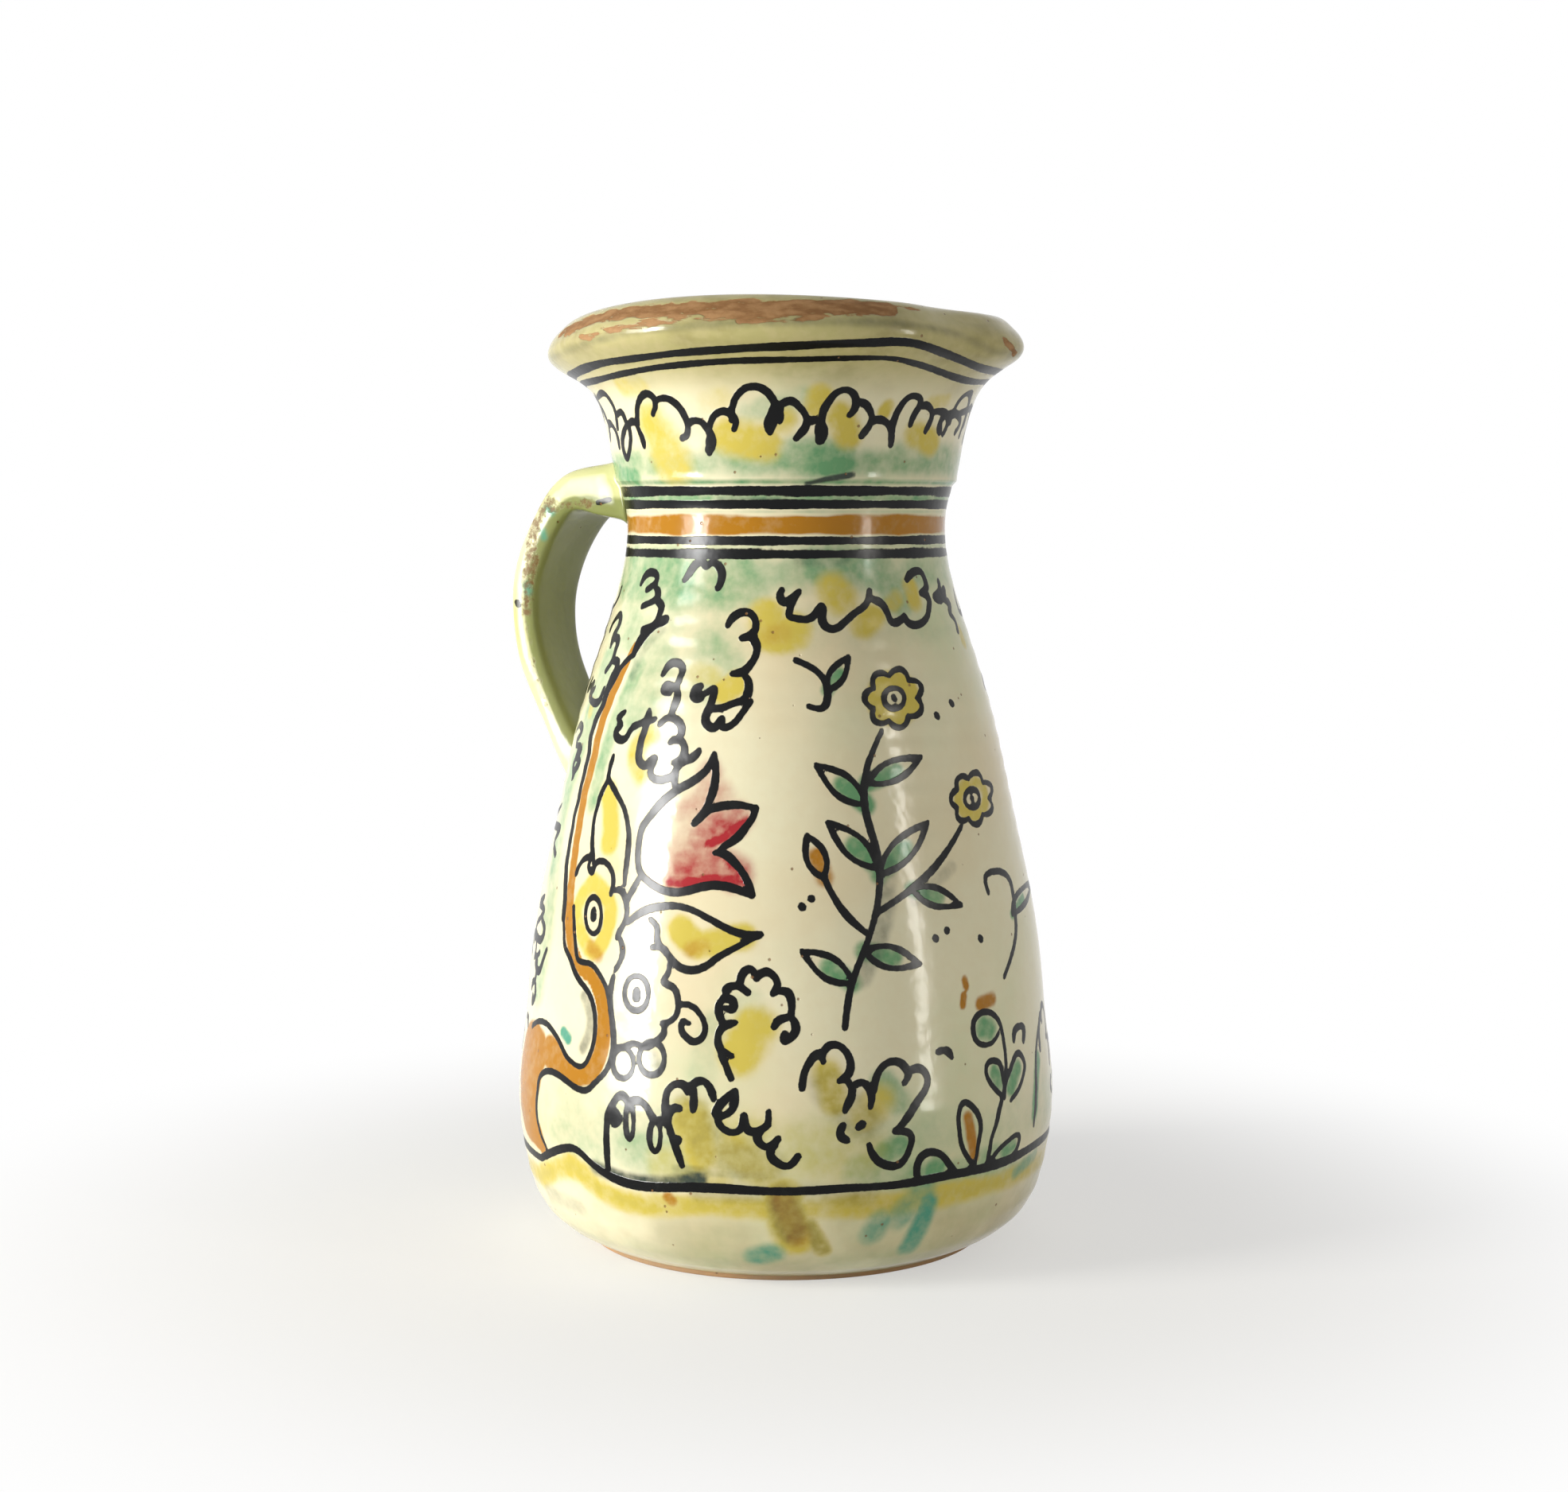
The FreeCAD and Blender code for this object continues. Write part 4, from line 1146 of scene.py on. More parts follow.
def leaf_outline(base, tip, bulge):
    """A pointed leaf's outline from its base round to its base again."""
    base, tip = np.array(base, float), np.array(tip, float)
    along = tip - base
    side = np.array([-along[1], along[0]]) / np.linalg.norm(along) * bulge
    left = [base + along * forward + side * out for forward, out in LEAF_LEFT_SHARES]
    right = [base + along * forward - side * out for forward, out in LEAF_RIGHT_SHARES]
    return [[base, *left, tip], [tip, *right, base]]


def oval(centre, across, down):
    """A closed oval."""
    return [
        (centre[0] + across * math.cos(turn), centre[1] + down * math.sin(turn))
        for turn in np.linspace(0, math.tau, OVAL_POINTS)
    ]


def daisy_outline(centre, across, down):
    """A daisy's petals, its ring and its dot."""
    lines = [oval(centre, across * DAISY_RING_SHARE, down * DAISY_RING_SHARE)]
    lines.append([(centre[0] - 1, centre[1] - 2), (centre[0] + 1, centre[1] + 2)])
    for petal in range(DAISY_PETALS):
        arc = []
        for part in PETAL_PARTS:
            turn = math.tau * (petal + part) / DAISY_PETALS
            out = PETAL_START_SHARE + PETAL_RISE_SHARE * math.sin(math.pi * part)
            step = (across * out * math.cos(turn), down * out * math.sin(turn))
            arc.append((centre[0] + step[0], centre[1] + step[1]))
        lines.append(arc)
    return lines


class Painting:
    """Brush lines and washes on the wall, each kept as points and how wide it is there."""

    def __init__(self, wall, picture):
        self.wall = wall
        self.picture = picture
        self.ink = []
        self.washes = {name: [] for name in WASHES}
        self.wear = []
        self.draw_rings()
        self.draw_lines()
        self.draw_spray()
        self.draw_washes()

    def on_wall(self, places):
        """Turns and stations of places in the picture."""
        return self.wall.meet(self.picture.origin, self.picture.rays(places))

    def copies(self, places, widths, start=0.0):
        """Points and widths of a run of places, turned by the start, and on the far side."""
        turns, stations = self.on_wall(places)
        widths = np.asarray(widths, float) * PIXEL
        return [(self.wall.place(turns + turn, stations), widths) for turn in (start, start + math.pi)]

    def line(self, places, share_of_width=1.0, start=0.0):
        """Adds a brush line, thinner at its ends and a little uneven."""
        curve = smooth_curve(places, LINE_PARTS)
        ends = np.linspace(0, 1, len(curve))
        taper = smooth_step(np.minimum(ends, 1 - ends) / TAPER_LENGTH_SHARE)
        taper = 1 - TAPER_DEPTH_SHARE + TAPER_DEPTH_SHARE * taper
        uneven = 1 + BRUSH_UNEVEN_SHARE * np.sin(ends * BRUSH_WAVES + places[0][0] * BRUSH_START)
        widths = LINE_HALF_WIDTH * share_of_width * taper * uneven
        self.ink += self.copies(curve, widths, start)

    def wash(self, name, strength, half_width, places):
        """Adds a wash."""
        curve = smooth_curve(places, LINE_PARTS)
        for points, widths in self.copies(curve, np.full(len(curve), half_width)):
            widths = widths * WASH_WIDTH_SHARE
            self.washes[name].append((points, widths, strength * WASH_STRENGTH_SHARE, WASH_SOFT_SHARE))

    def leaf(self, name, base, tip, bulge):
        """Adds a leaf, with a wash over its lower half."""
        for places in leaf_outline(base, tip, bulge):
            self.line(places, FINE_SHARE)
        middle = ((base[0] + tip[0]) / 2 + LEAF_WASH_SHIFT, (base[1] + tip[1]) / 2)
        self.wash(name, LEAF_WASH_STRENGTH, bulge * LEAF_WASH_SHARE, [base, middle])

    def trunk(self, run):
        """Adds a run of the trunk, as wide as it says."""
        places = smooth_curve([place for place, _ in run], LINE_PARTS)
        widths = smooth_curve([(index, width) for index, (_, width) in enumerate(run)], LINE_PARTS)[:, 1]
        along = np.gradient(places, axis=0)
        side = np.stack([-along[:, 1], along[:, 0]], axis=1) / np.linalg.norm(along, axis=1)[:, None]
        edges = [self.on_wall(places + side * (widths * part)[:, None]) for part in (-0.5, 0.5)]
        turns, stations = np.mean(edges, axis=0)
        near, far = (self.wall.place(*edge) for edge in edges)
        half_widths = np.linalg.norm(near - far, axis=1) / 2
        for start in (0.0, math.pi):
            points = self.wall.place(turns + start, stations)
            self.washes["orange"].append((points, half_widths, 1.0, TRUNK_SOFT_SHARE))

    def ring(self, places):
        """A closed line round the jug through places in the picture."""
        turns, stations = self.on_wall(smooth_curve(places, LINE_PARTS))
        order = np.argsort(turns)
        around = np.linspace(0, math.tau, RING_STEPS + 1)
        level = np.interp(around, turns[order] % math.tau, stations[order], period=math.tau)
        return self.wall.place(around, level)

    def level_ring(self, down):
        """A level line round the jug at the height shown in the picture's middle column."""
        _, stations = self.on_wall([(FRONT_COLUMN, down)])
        around = np.linspace(0, math.tau, RING_STEPS + 1)
        return self.wall.place(around, np.full(RING_STEPS + 1, stations[0]))

    def ring_widths(self, half_width, seed):
        """Widths round a ring, uneven as a brush leaves them."""
        around = np.linspace(0, math.tau, RING_STEPS + 1)
        uneven = np.ones(RING_STEPS + 1)
        for depth, waves, step in RING_UNEVEN:
            uneven += depth * np.sin(waves * around + step * seed)
        return half_width * PIXEL * uneven

    def draw_rings(self):
        """The lines and bands that were painted while the jug turned."""
        for places, half_width, seed in ROUND_LINES:
            self.ink.append((self.ring(places), self.ring_widths(half_width, seed)))
        for row, half_width, seed in NECK_LINES:
            self.ink.append((self.level_ring(row), self.ring_widths(half_width, seed)))
        for name, places, half_width, seed, strength, softness in PLACED_BANDS:
            widths = self.ring_widths(half_width, seed)
            self.washes[name].append((self.ring(places), widths, strength, softness))
        for name, row, half_width, seed, strength, softness in LEVEL_BANDS:
            widths = self.ring_widths(half_width, seed)
            self.washes[name].append((self.level_ring(row), widths, strength, softness))

    def draw_lines(self):
        """The brush lines, near and far."""
        for group, share_of_width in LINE_GROUPS:
            for places in group:
                self.line(places, share_of_width)
        for group, turn in FILLERS:
            for places in group:
                self.line(places, FILLER_SHARE, math.radians(turn))
        for centre, across, down, share_of_width in OVALS:
            self.line(oval(centre, across, down), share_of_width)
        for across, down in FLOWER_HEARTS:
            ends = [(across, down - HEART_HALF_LENGTH), (across, down + HEART_HALF_LENGTH)]
            self.line(ends, HEART_SHARE)

    def draw_spray(self):
        """The spray's leaves, bud, daisies and dots. Its stems are among the lines."""
        for base, tip, bulge in SPRAY_LEAVES:
            self.leaf("green", base, tip, bulge)
        self.leaf("orange", *SPRAY_BUD)
        for centre, across, down in SPRAY_DAISIES:
            for places in daisy_outline(centre, across, down):
                self.line(places, FINE_SHARE)
            round_it = oval(centre, across * DAISY_WASH_RADIUS_SHARE, down * DAISY_WASH_RADIUS_SHARE)
            self.wash("yellow", DAISY_WASH_STRENGTH, across * DAISY_WASH_WIDTH_SHARE, round_it)
        for across, down in SPRAY_DOTS:
            self.line([(across - 1, down - 1), (across + 1, down + 1)])

    def draw_washes(self):
        """The washes, the trunk and the wear, near and far."""
        for name, washes in WASHES.items():
            for strength, half_width, places in washes:
                self.wash(name, strength, half_width, places)
        self.trunk(TRUNK_SLENDER)
        self.trunk(TRUNK_BROAD)
        for strength, half_width, places in RIM_WEAR:
            curve = smooth_curve(places, LINE_PARTS)
            for points, widths in self.copies(curve, np.full(len(curve), half_width)):
                self.wear.append((points, widths, strength, WEAR_SOFT_SHARE))

    def fields(self, points):
        """Every paint's amount at each point, by name."""
        made = {"ink": ink_distance(points, self.ink), "wear": wash_amount(points, self.wear)}
        for name, washes in self.washes.items():
            made[name] = wash_amount(points, washes)
        return made


def line_distance(points, line, widths):
    """How far points are from a line's edge, less than 0 where they are in it."""
    starts, ends = line[:-1], line[1:]
    along = ends - starts
    lengths = np.maximum((along * along).sum(axis=1), TINY**2)
    nearest = np.full(len(points), np.inf)
    for start, step, squared, width, change in zip(starts, along, lengths, widths, np.diff(widths)):
        apart = points - start
        shares = np.clip(apart @ step / squared, 0.0, 1.0)
        gap = np.linalg.norm(apart - shares[:, None] * step, axis=1) - width - shares * change
        nearest = np.minimum(nearest, gap)
    return nearest


def near_line(points, line, margin):
    """Which points lie in a box round a line."""
    low, high = line.min(axis=0) - margin, line.max(axis=0) + margin
    return np.nonzero(((points > low) & (points < high)).all(axis=1))[0]


def ink_distance(points, lines):
    """How far each point is from the nearest ink, in millimetres."""
    distance = np.full(len(points), FAR_FROM_INK)
    margin = FAR_FROM_INK / MILLIMETRES
    for line, widths in lines:
        for part in range(0, len(line) - 1, RUN_STEPS):
            run = line[part : part + RUN_STEPS + 1]
            run_widths = widths[part : part + RUN_STEPS + 1]
            chosen = near_line(points, run, margin)
            if len(chosen):
                gap = line_distance(points[chosen], run, run_widths)
                distance[chosen] = np.minimum(distance[chosen], gap * MILLIMETRES)
    return distance


def wash_amount(points, washes):
    """How much of a wash lies on each point, from 0 to 1."""
    amount = np.zeros(len(points))
    for line, widths, strength, softness in washes:
        for part in range(0, len(line) - 1, RUN_STEPS):
            run = line[part : part + RUN_STEPS + 1]
            run_widths = widths[part : part + RUN_STEPS + 1]
            fade = softness * run_widths.mean()
            chosen = near_line(points, run, run_widths.max() + fade)
            if len(chosen):
                gap = line_distance(points[chosen], run, run_widths)
                share_there = strength * smooth_step(0.5 - gap / (2 * fade))
                amount[chosen] = np.maximum(amount[chosen], share_there)
    return amount


def strap_basis(count, samples):
    """Shares of each control point in the points along a clamped cubic spline."""
    knots = np.concatenate([np.zeros(3), np.arange(count - 2), np.full(3, count - 3)]).astype(float)
    places = np.linspace(0, count - 3, samples)
    places[-1] -= SPLINE_INSET
    basis = ((places[:, None] >= knots[:-1]) & (places[:, None] < knots[1:])).astype(float)
    for degree in range(1, 4):
        before = basis
        basis = np.zeros((samples, before.shape[1] - 1))
        for index in range(basis.shape[1]):
            rise = knots[index + degree] - knots[index]
            fall = knots[index + degree + 1] - knots[index + 1]
            if rise > 0:
                basis[:, index] += (places - knots[index]) / rise * before[:, index]
            if fall > 0:
                basis[:, index] += (knots[index + degree + 1] - places) / fall * before[:, index + 1]
    return basis


def ring_basis(count, parts):
    """Shares of each control point in the points round a closed cubic spline."""
    basis = np.zeros((count * parts, count))
    for index in range(count):
        for part in range(parts):
            on = part / parts
            back = 1 - on
            weights = (back**3, 3 * on**3 - 6 * on**2 + 4, 3 * back**3 - 6 * back**2 + 4, on**3)
            for offset, weight in enumerate(weights):
                basis[index * parts + part, (index + offset - 1) % count] += weight / 6
    return basis


class Strap:
    """The strap handle under its coat of glaze."""

    def __init__(self, wall, sizes):
        jug = wall.sizes
        root_height = jug.belly_height + jug.shoulder_rise + sizes.root_rise
        reach_height = root_height - sizes.reach_drop
        tail_height = root_height - sizes.drop
        neck = (jug.neck_radius, root_height)
        reach = (float(wall.outside_radius(reach_height)) + sizes.stand_out, reach_height)
        tail = (float(wall.outside_radius(tail_height)) - sizes.tail_depth, tail_height)
        upper = between(neck, reach, UPPER_PATH_SHARES)
        lower = between(reach, tail, LOWER_PATH_SHARES)
        path = np.array(upper + lower)
        path[:, 0] *= -1
        along = np.gradient(smooth_curve(path, 2), axis=0)[::2]
        along /= np.linalg.norm(along, axis=1)[:, None]
        left = [(-across, through) for across, through in reversed(SECTION_SHARES)]
        half = SECTION_SHARES + [(0.0, SECTION_SHARES[-1][1])] + left
        section = half + [(-across, -through) for across, through in half[1:-1]]
        rings = []
        shares = zip(WIDTH_SHARES, THICKNESS_SHARES, SLIP_SHARES)
        for centre, step, (wide, thick, slip) in zip(path, along, shares):
            margin = jug.coat + sizes.slip_spread * slip
            middle = np.array([centre[0], 0.0, centre[1]])
            sideways = np.array([0.0, sizes.width * wide / 2 + margin, 0.0])
            inward = np.array([-step[1], 0.0, step[0]]) * (sizes.thickness * thick / 2 + margin)
            rings.append([middle + sideways * across + inward * through for across, through in section])
        long_basis = strap_basis(len(rings), STRAP_ROWS)
        round_basis = ring_basis(len(section), STRAP_PARTS)
        net = np.array(rings)
        self.rows = np.einsum("ar,rcd,bc->abd", long_basis, net, round_basis)
        self.inner_side = round_basis @ np.array([through for _, through in section])
        self.near_side = round_basis @ np.array([-across for across, _ in section])
        self.settle(wall, sizes)

    def settle(self, wall, sizes):
        """Lets the coat flow out on to the wall and ends it a little inside it."""
        normals = grid_normals(self.rows)
        gap = np.hypot(self.rows[..., 0], self.rows[..., 1]) - wall.outside_radius(self.rows[..., 2])
        flow = STRAP_FILLET * np.exp(-np.maximum(gap, 0) / STRAP_FILLET)
        fade = smooth_step(1 + gap / sizes.sink)
        self.rows = self.rows + normals * (flow * fade)[..., None]
        uneven = sum(
            part * np.sin(self.rows[..., 2] * up + self.rows[..., 1] * across + start)
            for part, up, across, start in STRAP_WAVES
        )
        uneven = STRAP_UNEVEN * uneven * smooth_step(gap / sizes.sink)
        self.rows = self.rows + normals * uneven[..., None]
        radius = np.hypot(self.rows[..., 0], self.rows[..., 1])
        depth = wall.outside_radius(self.rows[..., 2]) - radius
        push = np.maximum(depth - sizes.sink, 0) / np.maximum(radius, TINY) + 1
        self.rows[..., 0] *= push
        self.rows[..., 1] *= push


def grid_normals(rows):
    """The normals at each point of a closed grid of rows."""
    round_step = np.roll(rows, -1, axis=1) - np.roll(rows, 1, axis=1)
    long_step = np.gradient(rows, axis=0)
    made = np.cross(round_step, long_step)
    return made / np.maximum(np.linalg.norm(made, axis=2), TINY)[..., None]


def make_mesh(name, rows, fields, centre=None, ends=False, normals=None):
    """A closed grid of rows as a mesh, with a named amount at each point."""
    count, around = rows.shape[:2]
    points = rows.reshape(-1, 3)
    index = np.arange(count * around).reshape(count, around)
    following = np.roll(index, -1, axis=1)
    corners = [index[:-1], following[:-1], following[1:], index[1:]]
    faces = np.stack(corners, axis=-1).reshape(-1, 4).tolist()
    if centre is not None:
        tip = len(points)
        points = np.concatenate([points, [centre]])
        fields = {key: np.append(amounts, amounts[-1]) for key, amounts in fields.items()}
        faces += [[int(a), int(b), tip] for a, b in zip(index[-1], following[-1])]
    if ends:
        faces.append([int(a) for a in index[0][::-1]])
        faces.append([int(a) for a in index[-1]])
    mesh = bpy.data.meshes.new(name)
    mesh.from_pydata(points.tolist(), [], faces)
    mesh.shade_smooth()
    for key, amounts in fields.items():
        layer = mesh.attributes.new(key, "FLOAT", "POINT")
        layer.data.foreach_set("value", np.asarray(amounts, np.float32))
    if normals is not None:
        mesh.normals_split_custom_set_from_vertices(normals.reshape(-1, 3).tolist())
    mesh.update()
    return mesh


def add_piece(name, mesh, material, slot_name, *nodes):
    """Puts a piece in the scene in place of the nodes it stands for."""
    if not len(mesh.polygons):
        raise RuntimeError(f"{name} has no faces")
    piece = bpy.data.objects.new(name, mesh)
    bpy.context.scene.collection.objects.link(piece)
    mesh.materials.append(material)
    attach(piece, BODY)
    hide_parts(*nodes)


class Value:
    """A shader node's output that can be added, multiplied and so on."""

    def __init__(self, nodes, socket):
        self.nodes = nodes
        self.socket = socket

    def __add__(self, other):
        return self.nodes.math("ADD", self, other)

    def __radd__(self, other):
        return self.nodes.math("ADD", other, self)

    def __sub__(self, other):
        return self.nodes.math("SUBTRACT", self, other)

    def __rsub__(self, other):
        return self.nodes.math("SUBTRACT", other, self)

    def __mul__(self, other):
        return self.nodes.math("MULTIPLY", self, other)

    def __rmul__(self, other):
        return self.nodes.math("MULTIPLY", other, self)


class Nodes:
    """A material's or world's nodes."""

    def __init__(self, owner):
        owner.use_nodes = True
        self.tree = owner.node_tree
        self.tree.nodes.clear()

    def node(self, kind, settings, inputs, output=0):
        """Adds a node: its settings first, then what goes into its sockets."""
        made = self.tree.nodes.new(kind)
        for name, value in settings.items():
            setattr(made, name, value)
        for place, value in inputs.items():
            if isinstance(value, Value):
                self.tree.links.new(value.socket, made.inputs[place])
            else:
                made.inputs[place].default_value = value
        if not made.outputs:
            return None
        return Value(self, made.outputs[output])

    def math(self, operation, *values):
        """Adds a sum."""
        return self.node("ShaderNodeMath", {"operation": operation}, dict(enumerate(values)))

    def amount(self, name):
        """A mesh's named amount."""
        return self.node("ShaderNodeAttribute", {"attribute_name": name}, {}, "Fac")

    def ease(self, value, start, end):
        """0 at the start, 1 at the end and smooth between."""
        inputs = {"Value": value, "From Min": start, "From Max": end, "To Min": 0.0, "To Max": 1.0}
        return self.node("ShaderNodeMapRange", {"interpolation_type": "SMOOTHSTEP"}, inputs)

    def mix(self, factor, first, second):
        """A colour between two others."""
        inputs = {0: factor, 6: self.opaque(first), 7: self.opaque(second)}
        return self.node("ShaderNodeMix", {"data_type": "RGBA"}, inputs, 2)

    def opaque(self, value):
        """A colour with its fourth part."""
        return value if isinstance(value, Value) else (*value, 1.0)

    def places(self, stretch=EVEN):
        """The surface's places in metres, stretched."""
        here = self.node("ShaderNodeTexCoord", {}, {}, "Object")
        return self.node("ShaderNodeVectorMath", {"operation": "MULTIPLY"}, {0: here, 1: stretch})

    def noise(self, scale, detail=3.0, stretch=EVEN, roughness=0.5):
        """Cloudy noise from 0 to 1. The scale is in clouds to the metre."""
        inputs = {"Vector": self.places(stretch), "Scale": scale, "Detail": detail, "Roughness": roughness}
        return self.node("ShaderNodeTexNoise", {}, inputs)

    def clouds(self, kind, start, end, strength):
        """Noise of a kind, eased between a start and an end."""
        return self.ease(self.noise(*kind), start, end) * strength

    def stray(self, kind, depth):
        """Noise of a kind, as deep to either side of nought."""
        return (self.noise(*kind) - 0.5) * depth

    def total(self, shares, *values):
        """A base with a share of each value added."""
        base, *weights = shares
        for weight, value in zip(weights, values, strict=True):
            base = base + weight * value
        return base

    def specks(self, scale, radius, rarity):
        """Small round specks, 1 inside them: a rarity of 0.9 leaves one cell in ten."""
        inputs = {"Vector": self.places(), "Scale": scale}
        distance = self.node("ShaderNodeTexVoronoi", {}, inputs)
        chance = self.node("ShaderNodeTexVoronoi", {}, inputs, "Color")
        chosen = self.node("ShaderNodeSeparateColor", {}, {0: chance})
        shape = self.ease(distance, radius, radius * SPECK_EDGE_SHARE)
        return shape * self.math("GREATER_THAN", chosen, rarity)

    def bump(self, height, distance):
        """A normal from a height in shares of the distance."""
        inputs = {"Strength": 1.0, "Distance": distance, "Height": height}
        return self.node("ShaderNodeBump", {}, inputs)

    def seen(self):
        """1 on rays that show the background: from the camera, or by way of a shiny or clear piece."""
        camera = self.node("ShaderNodeLightPath", {}, {}, "Is Camera Ray")
        glossy = self.node("ShaderNodeLightPath", {}, {}, "Is Glossy Ray")
        through = self.node("ShaderNodeLightPath", {}, {}, "Is Transmission Ray")
        return self.math("MINIMUM", camera + glossy + through, 1.0)

    def finish(self, inputs):
        """The surface."""
        surface = self.node("ShaderNodeBsdfPrincipled", {}, inputs)
        self.node("ShaderNodeOutputMaterial", {}, {"Surface": surface})


def cream_glaze(nodes, look):
    """The tin glaze's colour: cloudy, yellower and darker at the mouth, partly as painted shade over the
    rim, and dirtier at the foot.
    """
    up = nodes.node("ShaderNodeSeparateXYZ", {}, {0: nodes.places()}, "Z")
    mouth = nodes.ease(up, MOUTH_TONE_LOW, MOUTH_TONE_HIGH)
    foot = nodes.ease(up, FOOT_TONE_HIGH, FOOT_TONE_LOW)
    here = nodes.mix(nodes.clouds(*WARM_CLOUDS), look.cream, look.warm)
    here = nodes.mix(nodes.clouds(*COOL_CLOUDS), here, look.cool)
    # The mouth turns yellower and darker: partly the glaze's tone, partly painted shade over the rim.
    here = nodes.mix(mouth * MOUTH_TONE_SHARE, here, look.rim)
    here = nodes.mix(mouth * nodes.clouds(*MOUTH_PATINA), here, look.olive)
    here = nodes.mix(foot * nodes.clouds(*FOOT_DIRT), here, look.olive)
    return nodes.mix(nodes.clouds(*FINE_MOTTLE), here, look.warm)


def painted_material(look):
    """Painted tin glaze, worn to the clay along the rim."""
    material = bpy.data.materials.new("painted_glaze_look")
    nodes = Nodes(material)
    here = cream_glaze(nodes, look)
    streaks = nodes.noise(*PAINT_STREAKS)
    grain = nodes.noise(*PAINT_GRAIN)
    patchy = nodes.total(PATCHY_SHARES, nodes.noise(*PAINT_CLOUD), streaks, grain)
    dense = nodes.total(DENSE_SHARES, streaks, grain)
    for name in PAINT_ORDER:
        uneven = nodes.ease(nodes.amount(name) * patchy, PAINT_STARTS, PAINT_FULL)
        here = nodes.mix(uneven * dense, here, getattr(look, name))
    ink = nodes.ease(nodes.amount("ink") + nodes.stray(*INK_STRAY), INK_EDGE_OUT, INK_EDGE_IN)
    here = nodes.mix(ink, here, nodes.mix(nodes.clouds(*THIN_INK), look.ink, look.thin_ink))
    pinholes = nodes.specks(*PAINTED_PINHOLES)
    here = nodes.mix(pinholes * PAINTED_PINHOLE_SHADE, here, look.clay)
    grit = nodes.noise(*WEAR_GRIT)
    wear = nodes.ease(nodes.amount("wear") + nodes.stray(*WEAR_STRAY), WEAR_STARTS, WEAR_FULL)
    bared = nodes.mix(nodes.clouds(*BARED_CLOUDS), look.clay, look.pale_clay)
    here = nodes.mix(wear, here, nodes.mix(grit * WEAR_GRIT_SHADE, bared, look.clay))
    relief = (nodes.noise(*GLAZE_WAVES), ink, wear, pinholes, grit * wear)
    nodes.finish({
        "Base Color": here,
        "Roughness": nodes.total(PAINTED_ROUGHNESS, nodes.noise(*GLAZE_POLISH), ink, wear),
        "Normal": nodes.bump(nodes.total(PAINTED_RELIEF, *relief), GLAZE_DEPTH),
        "Specular IOR Level": GLAZE_SHINE,
    })
    return material


def plain_material(look):
    """Tin glaze without paint."""
    material = bpy.data.materials.new("plain_glaze_look")
    nodes = Nodes(material)
    pinholes = nodes.specks(*PLAIN_PINHOLES)
    here = nodes.mix(pinholes * PLAIN_PINHOLE_SHADE, cream_glaze(nodes, look), look.clay)
    here = nodes.mix(nodes.clouds(*POOL_CLOUDS), here, look.cool)
    relief = nodes.total(PLAIN_RELIEF, nodes.noise(*GLAZE_WAVES), pinholes)
    nodes.finish({
        "Base Color": here,
        "Roughness": nodes.total(PLAIN_ROUGHNESS, nodes.noise(*PLAIN_POLISH)),
        "Normal": nodes.bump(relief, GLAZE_DEPTH),
        "Specular IOR Level": GLAZE_SHINE,
    })
    return material


def handle_material(look):
    """The handle's glaze: pale green, darker olive on the strap's inner face, partly its glaze and partly
    painted shade, and worn along its edge.
    """
    material = bpy.data.materials.new("handle_glaze_look")
    nodes = Nodes(material)
    here = nodes.mix(nodes.clouds(*STRAP_CREAM_CLOUDS), look.handle, look.cream)
    here = nodes.mix(nodes.clouds(*STRAP_YELLOW_CLOUDS), here, look.yellow)
    # The strap's inner face, towards the body, turns darker olive: partly its glaze, partly painted shade.
    inside = nodes.amount("inside") + nodes.stray(*INSIDE_STRAY)
    inside = nodes.ease(inside, INSIDE_STARTS, INSIDE_FULL)
    here = nodes.mix(inside * INNER_FACE_OLIVE_AND_SHADE, here, look.handle_side_olive_and_shade)
    splash = nodes.amount("turquoise") * nodes.total(SPLASH_SHARES, nodes.noise(*SPLASH_NOISE))
    here = nodes.mix(nodes.math("MINIMUM", splash, 1.0), here, look.turquoise)
    worn = nodes.amount("wear") + nodes.stray(*STRAP_WEAR_STRAY)
    worn = nodes.ease(worn, STRAP_WEAR_STARTS, STRAP_WEAR_FULL)
    here = nodes.mix(worn * STRAP_WEAR_SHADE, here, look.wear)
    ink = nodes.ease(nodes.amount("ink"), INK_EDGE_OUT, INK_EDGE_IN)
    here = nodes.mix(ink * STRAP_INK_SHADE, here, look.ink)
    pinholes = nodes.specks(*STRAP_PINHOLES)
    here = nodes.mix(pinholes * STRAP_PINHOLE_SHADE, here, look.wear)
    relief = nodes.total(STRAP_RELIEF, nodes.noise(*STRAP_NOISE), pinholes, worn)
    nodes.finish({
        "Base Color": here,
        "Roughness": nodes.total(STRAP_ROUGHNESS, nodes.noise(*GLAZE_POLISH), worn),
        "Normal": nodes.bump(relief, STRAP_GLAZE_DEPTH),
        "Specular IOR Level": GLAZE_SHINE,
    })
    return material


def clay_material(name, dark, pale):
    """Bare fired earthenware, gritty and matt."""
    material = bpy.data.materials.new(name)
    nodes = Nodes(material)
    grit = nodes.noise(*CLAY_GRIT)
    pale_grit = nodes.ease(grit, PALE_GRIT_STARTS, PALE_GRIT_FULL) * PALE_GRIT_SHADE
    here = nodes.mix(nodes.clouds(*CLAY_CLOUDS), dark, pale)
    here = nodes.mix(pale_grit, here, pale)
    dark_specks = nodes.specks(*CLAY_SPECKS)
    speck_colour = tuple(part * SPECK_SHADE_SHARE for part in dark)
    here = nodes.mix(dark_specks * CLAY_SPECK_SHADE, here, speck_colour)
    relief = nodes.total(CLAY_RELIEF, grit, nodes.noise(*TURNING_MARKS), dark_specks)
    nodes.finish({
        "Base Color": here,
        "Roughness": nodes.total(CLAY_ROUGHNESS, grit),
        "Normal": nodes.bump(relief, CLAY_DEPTH),
    })
    return material


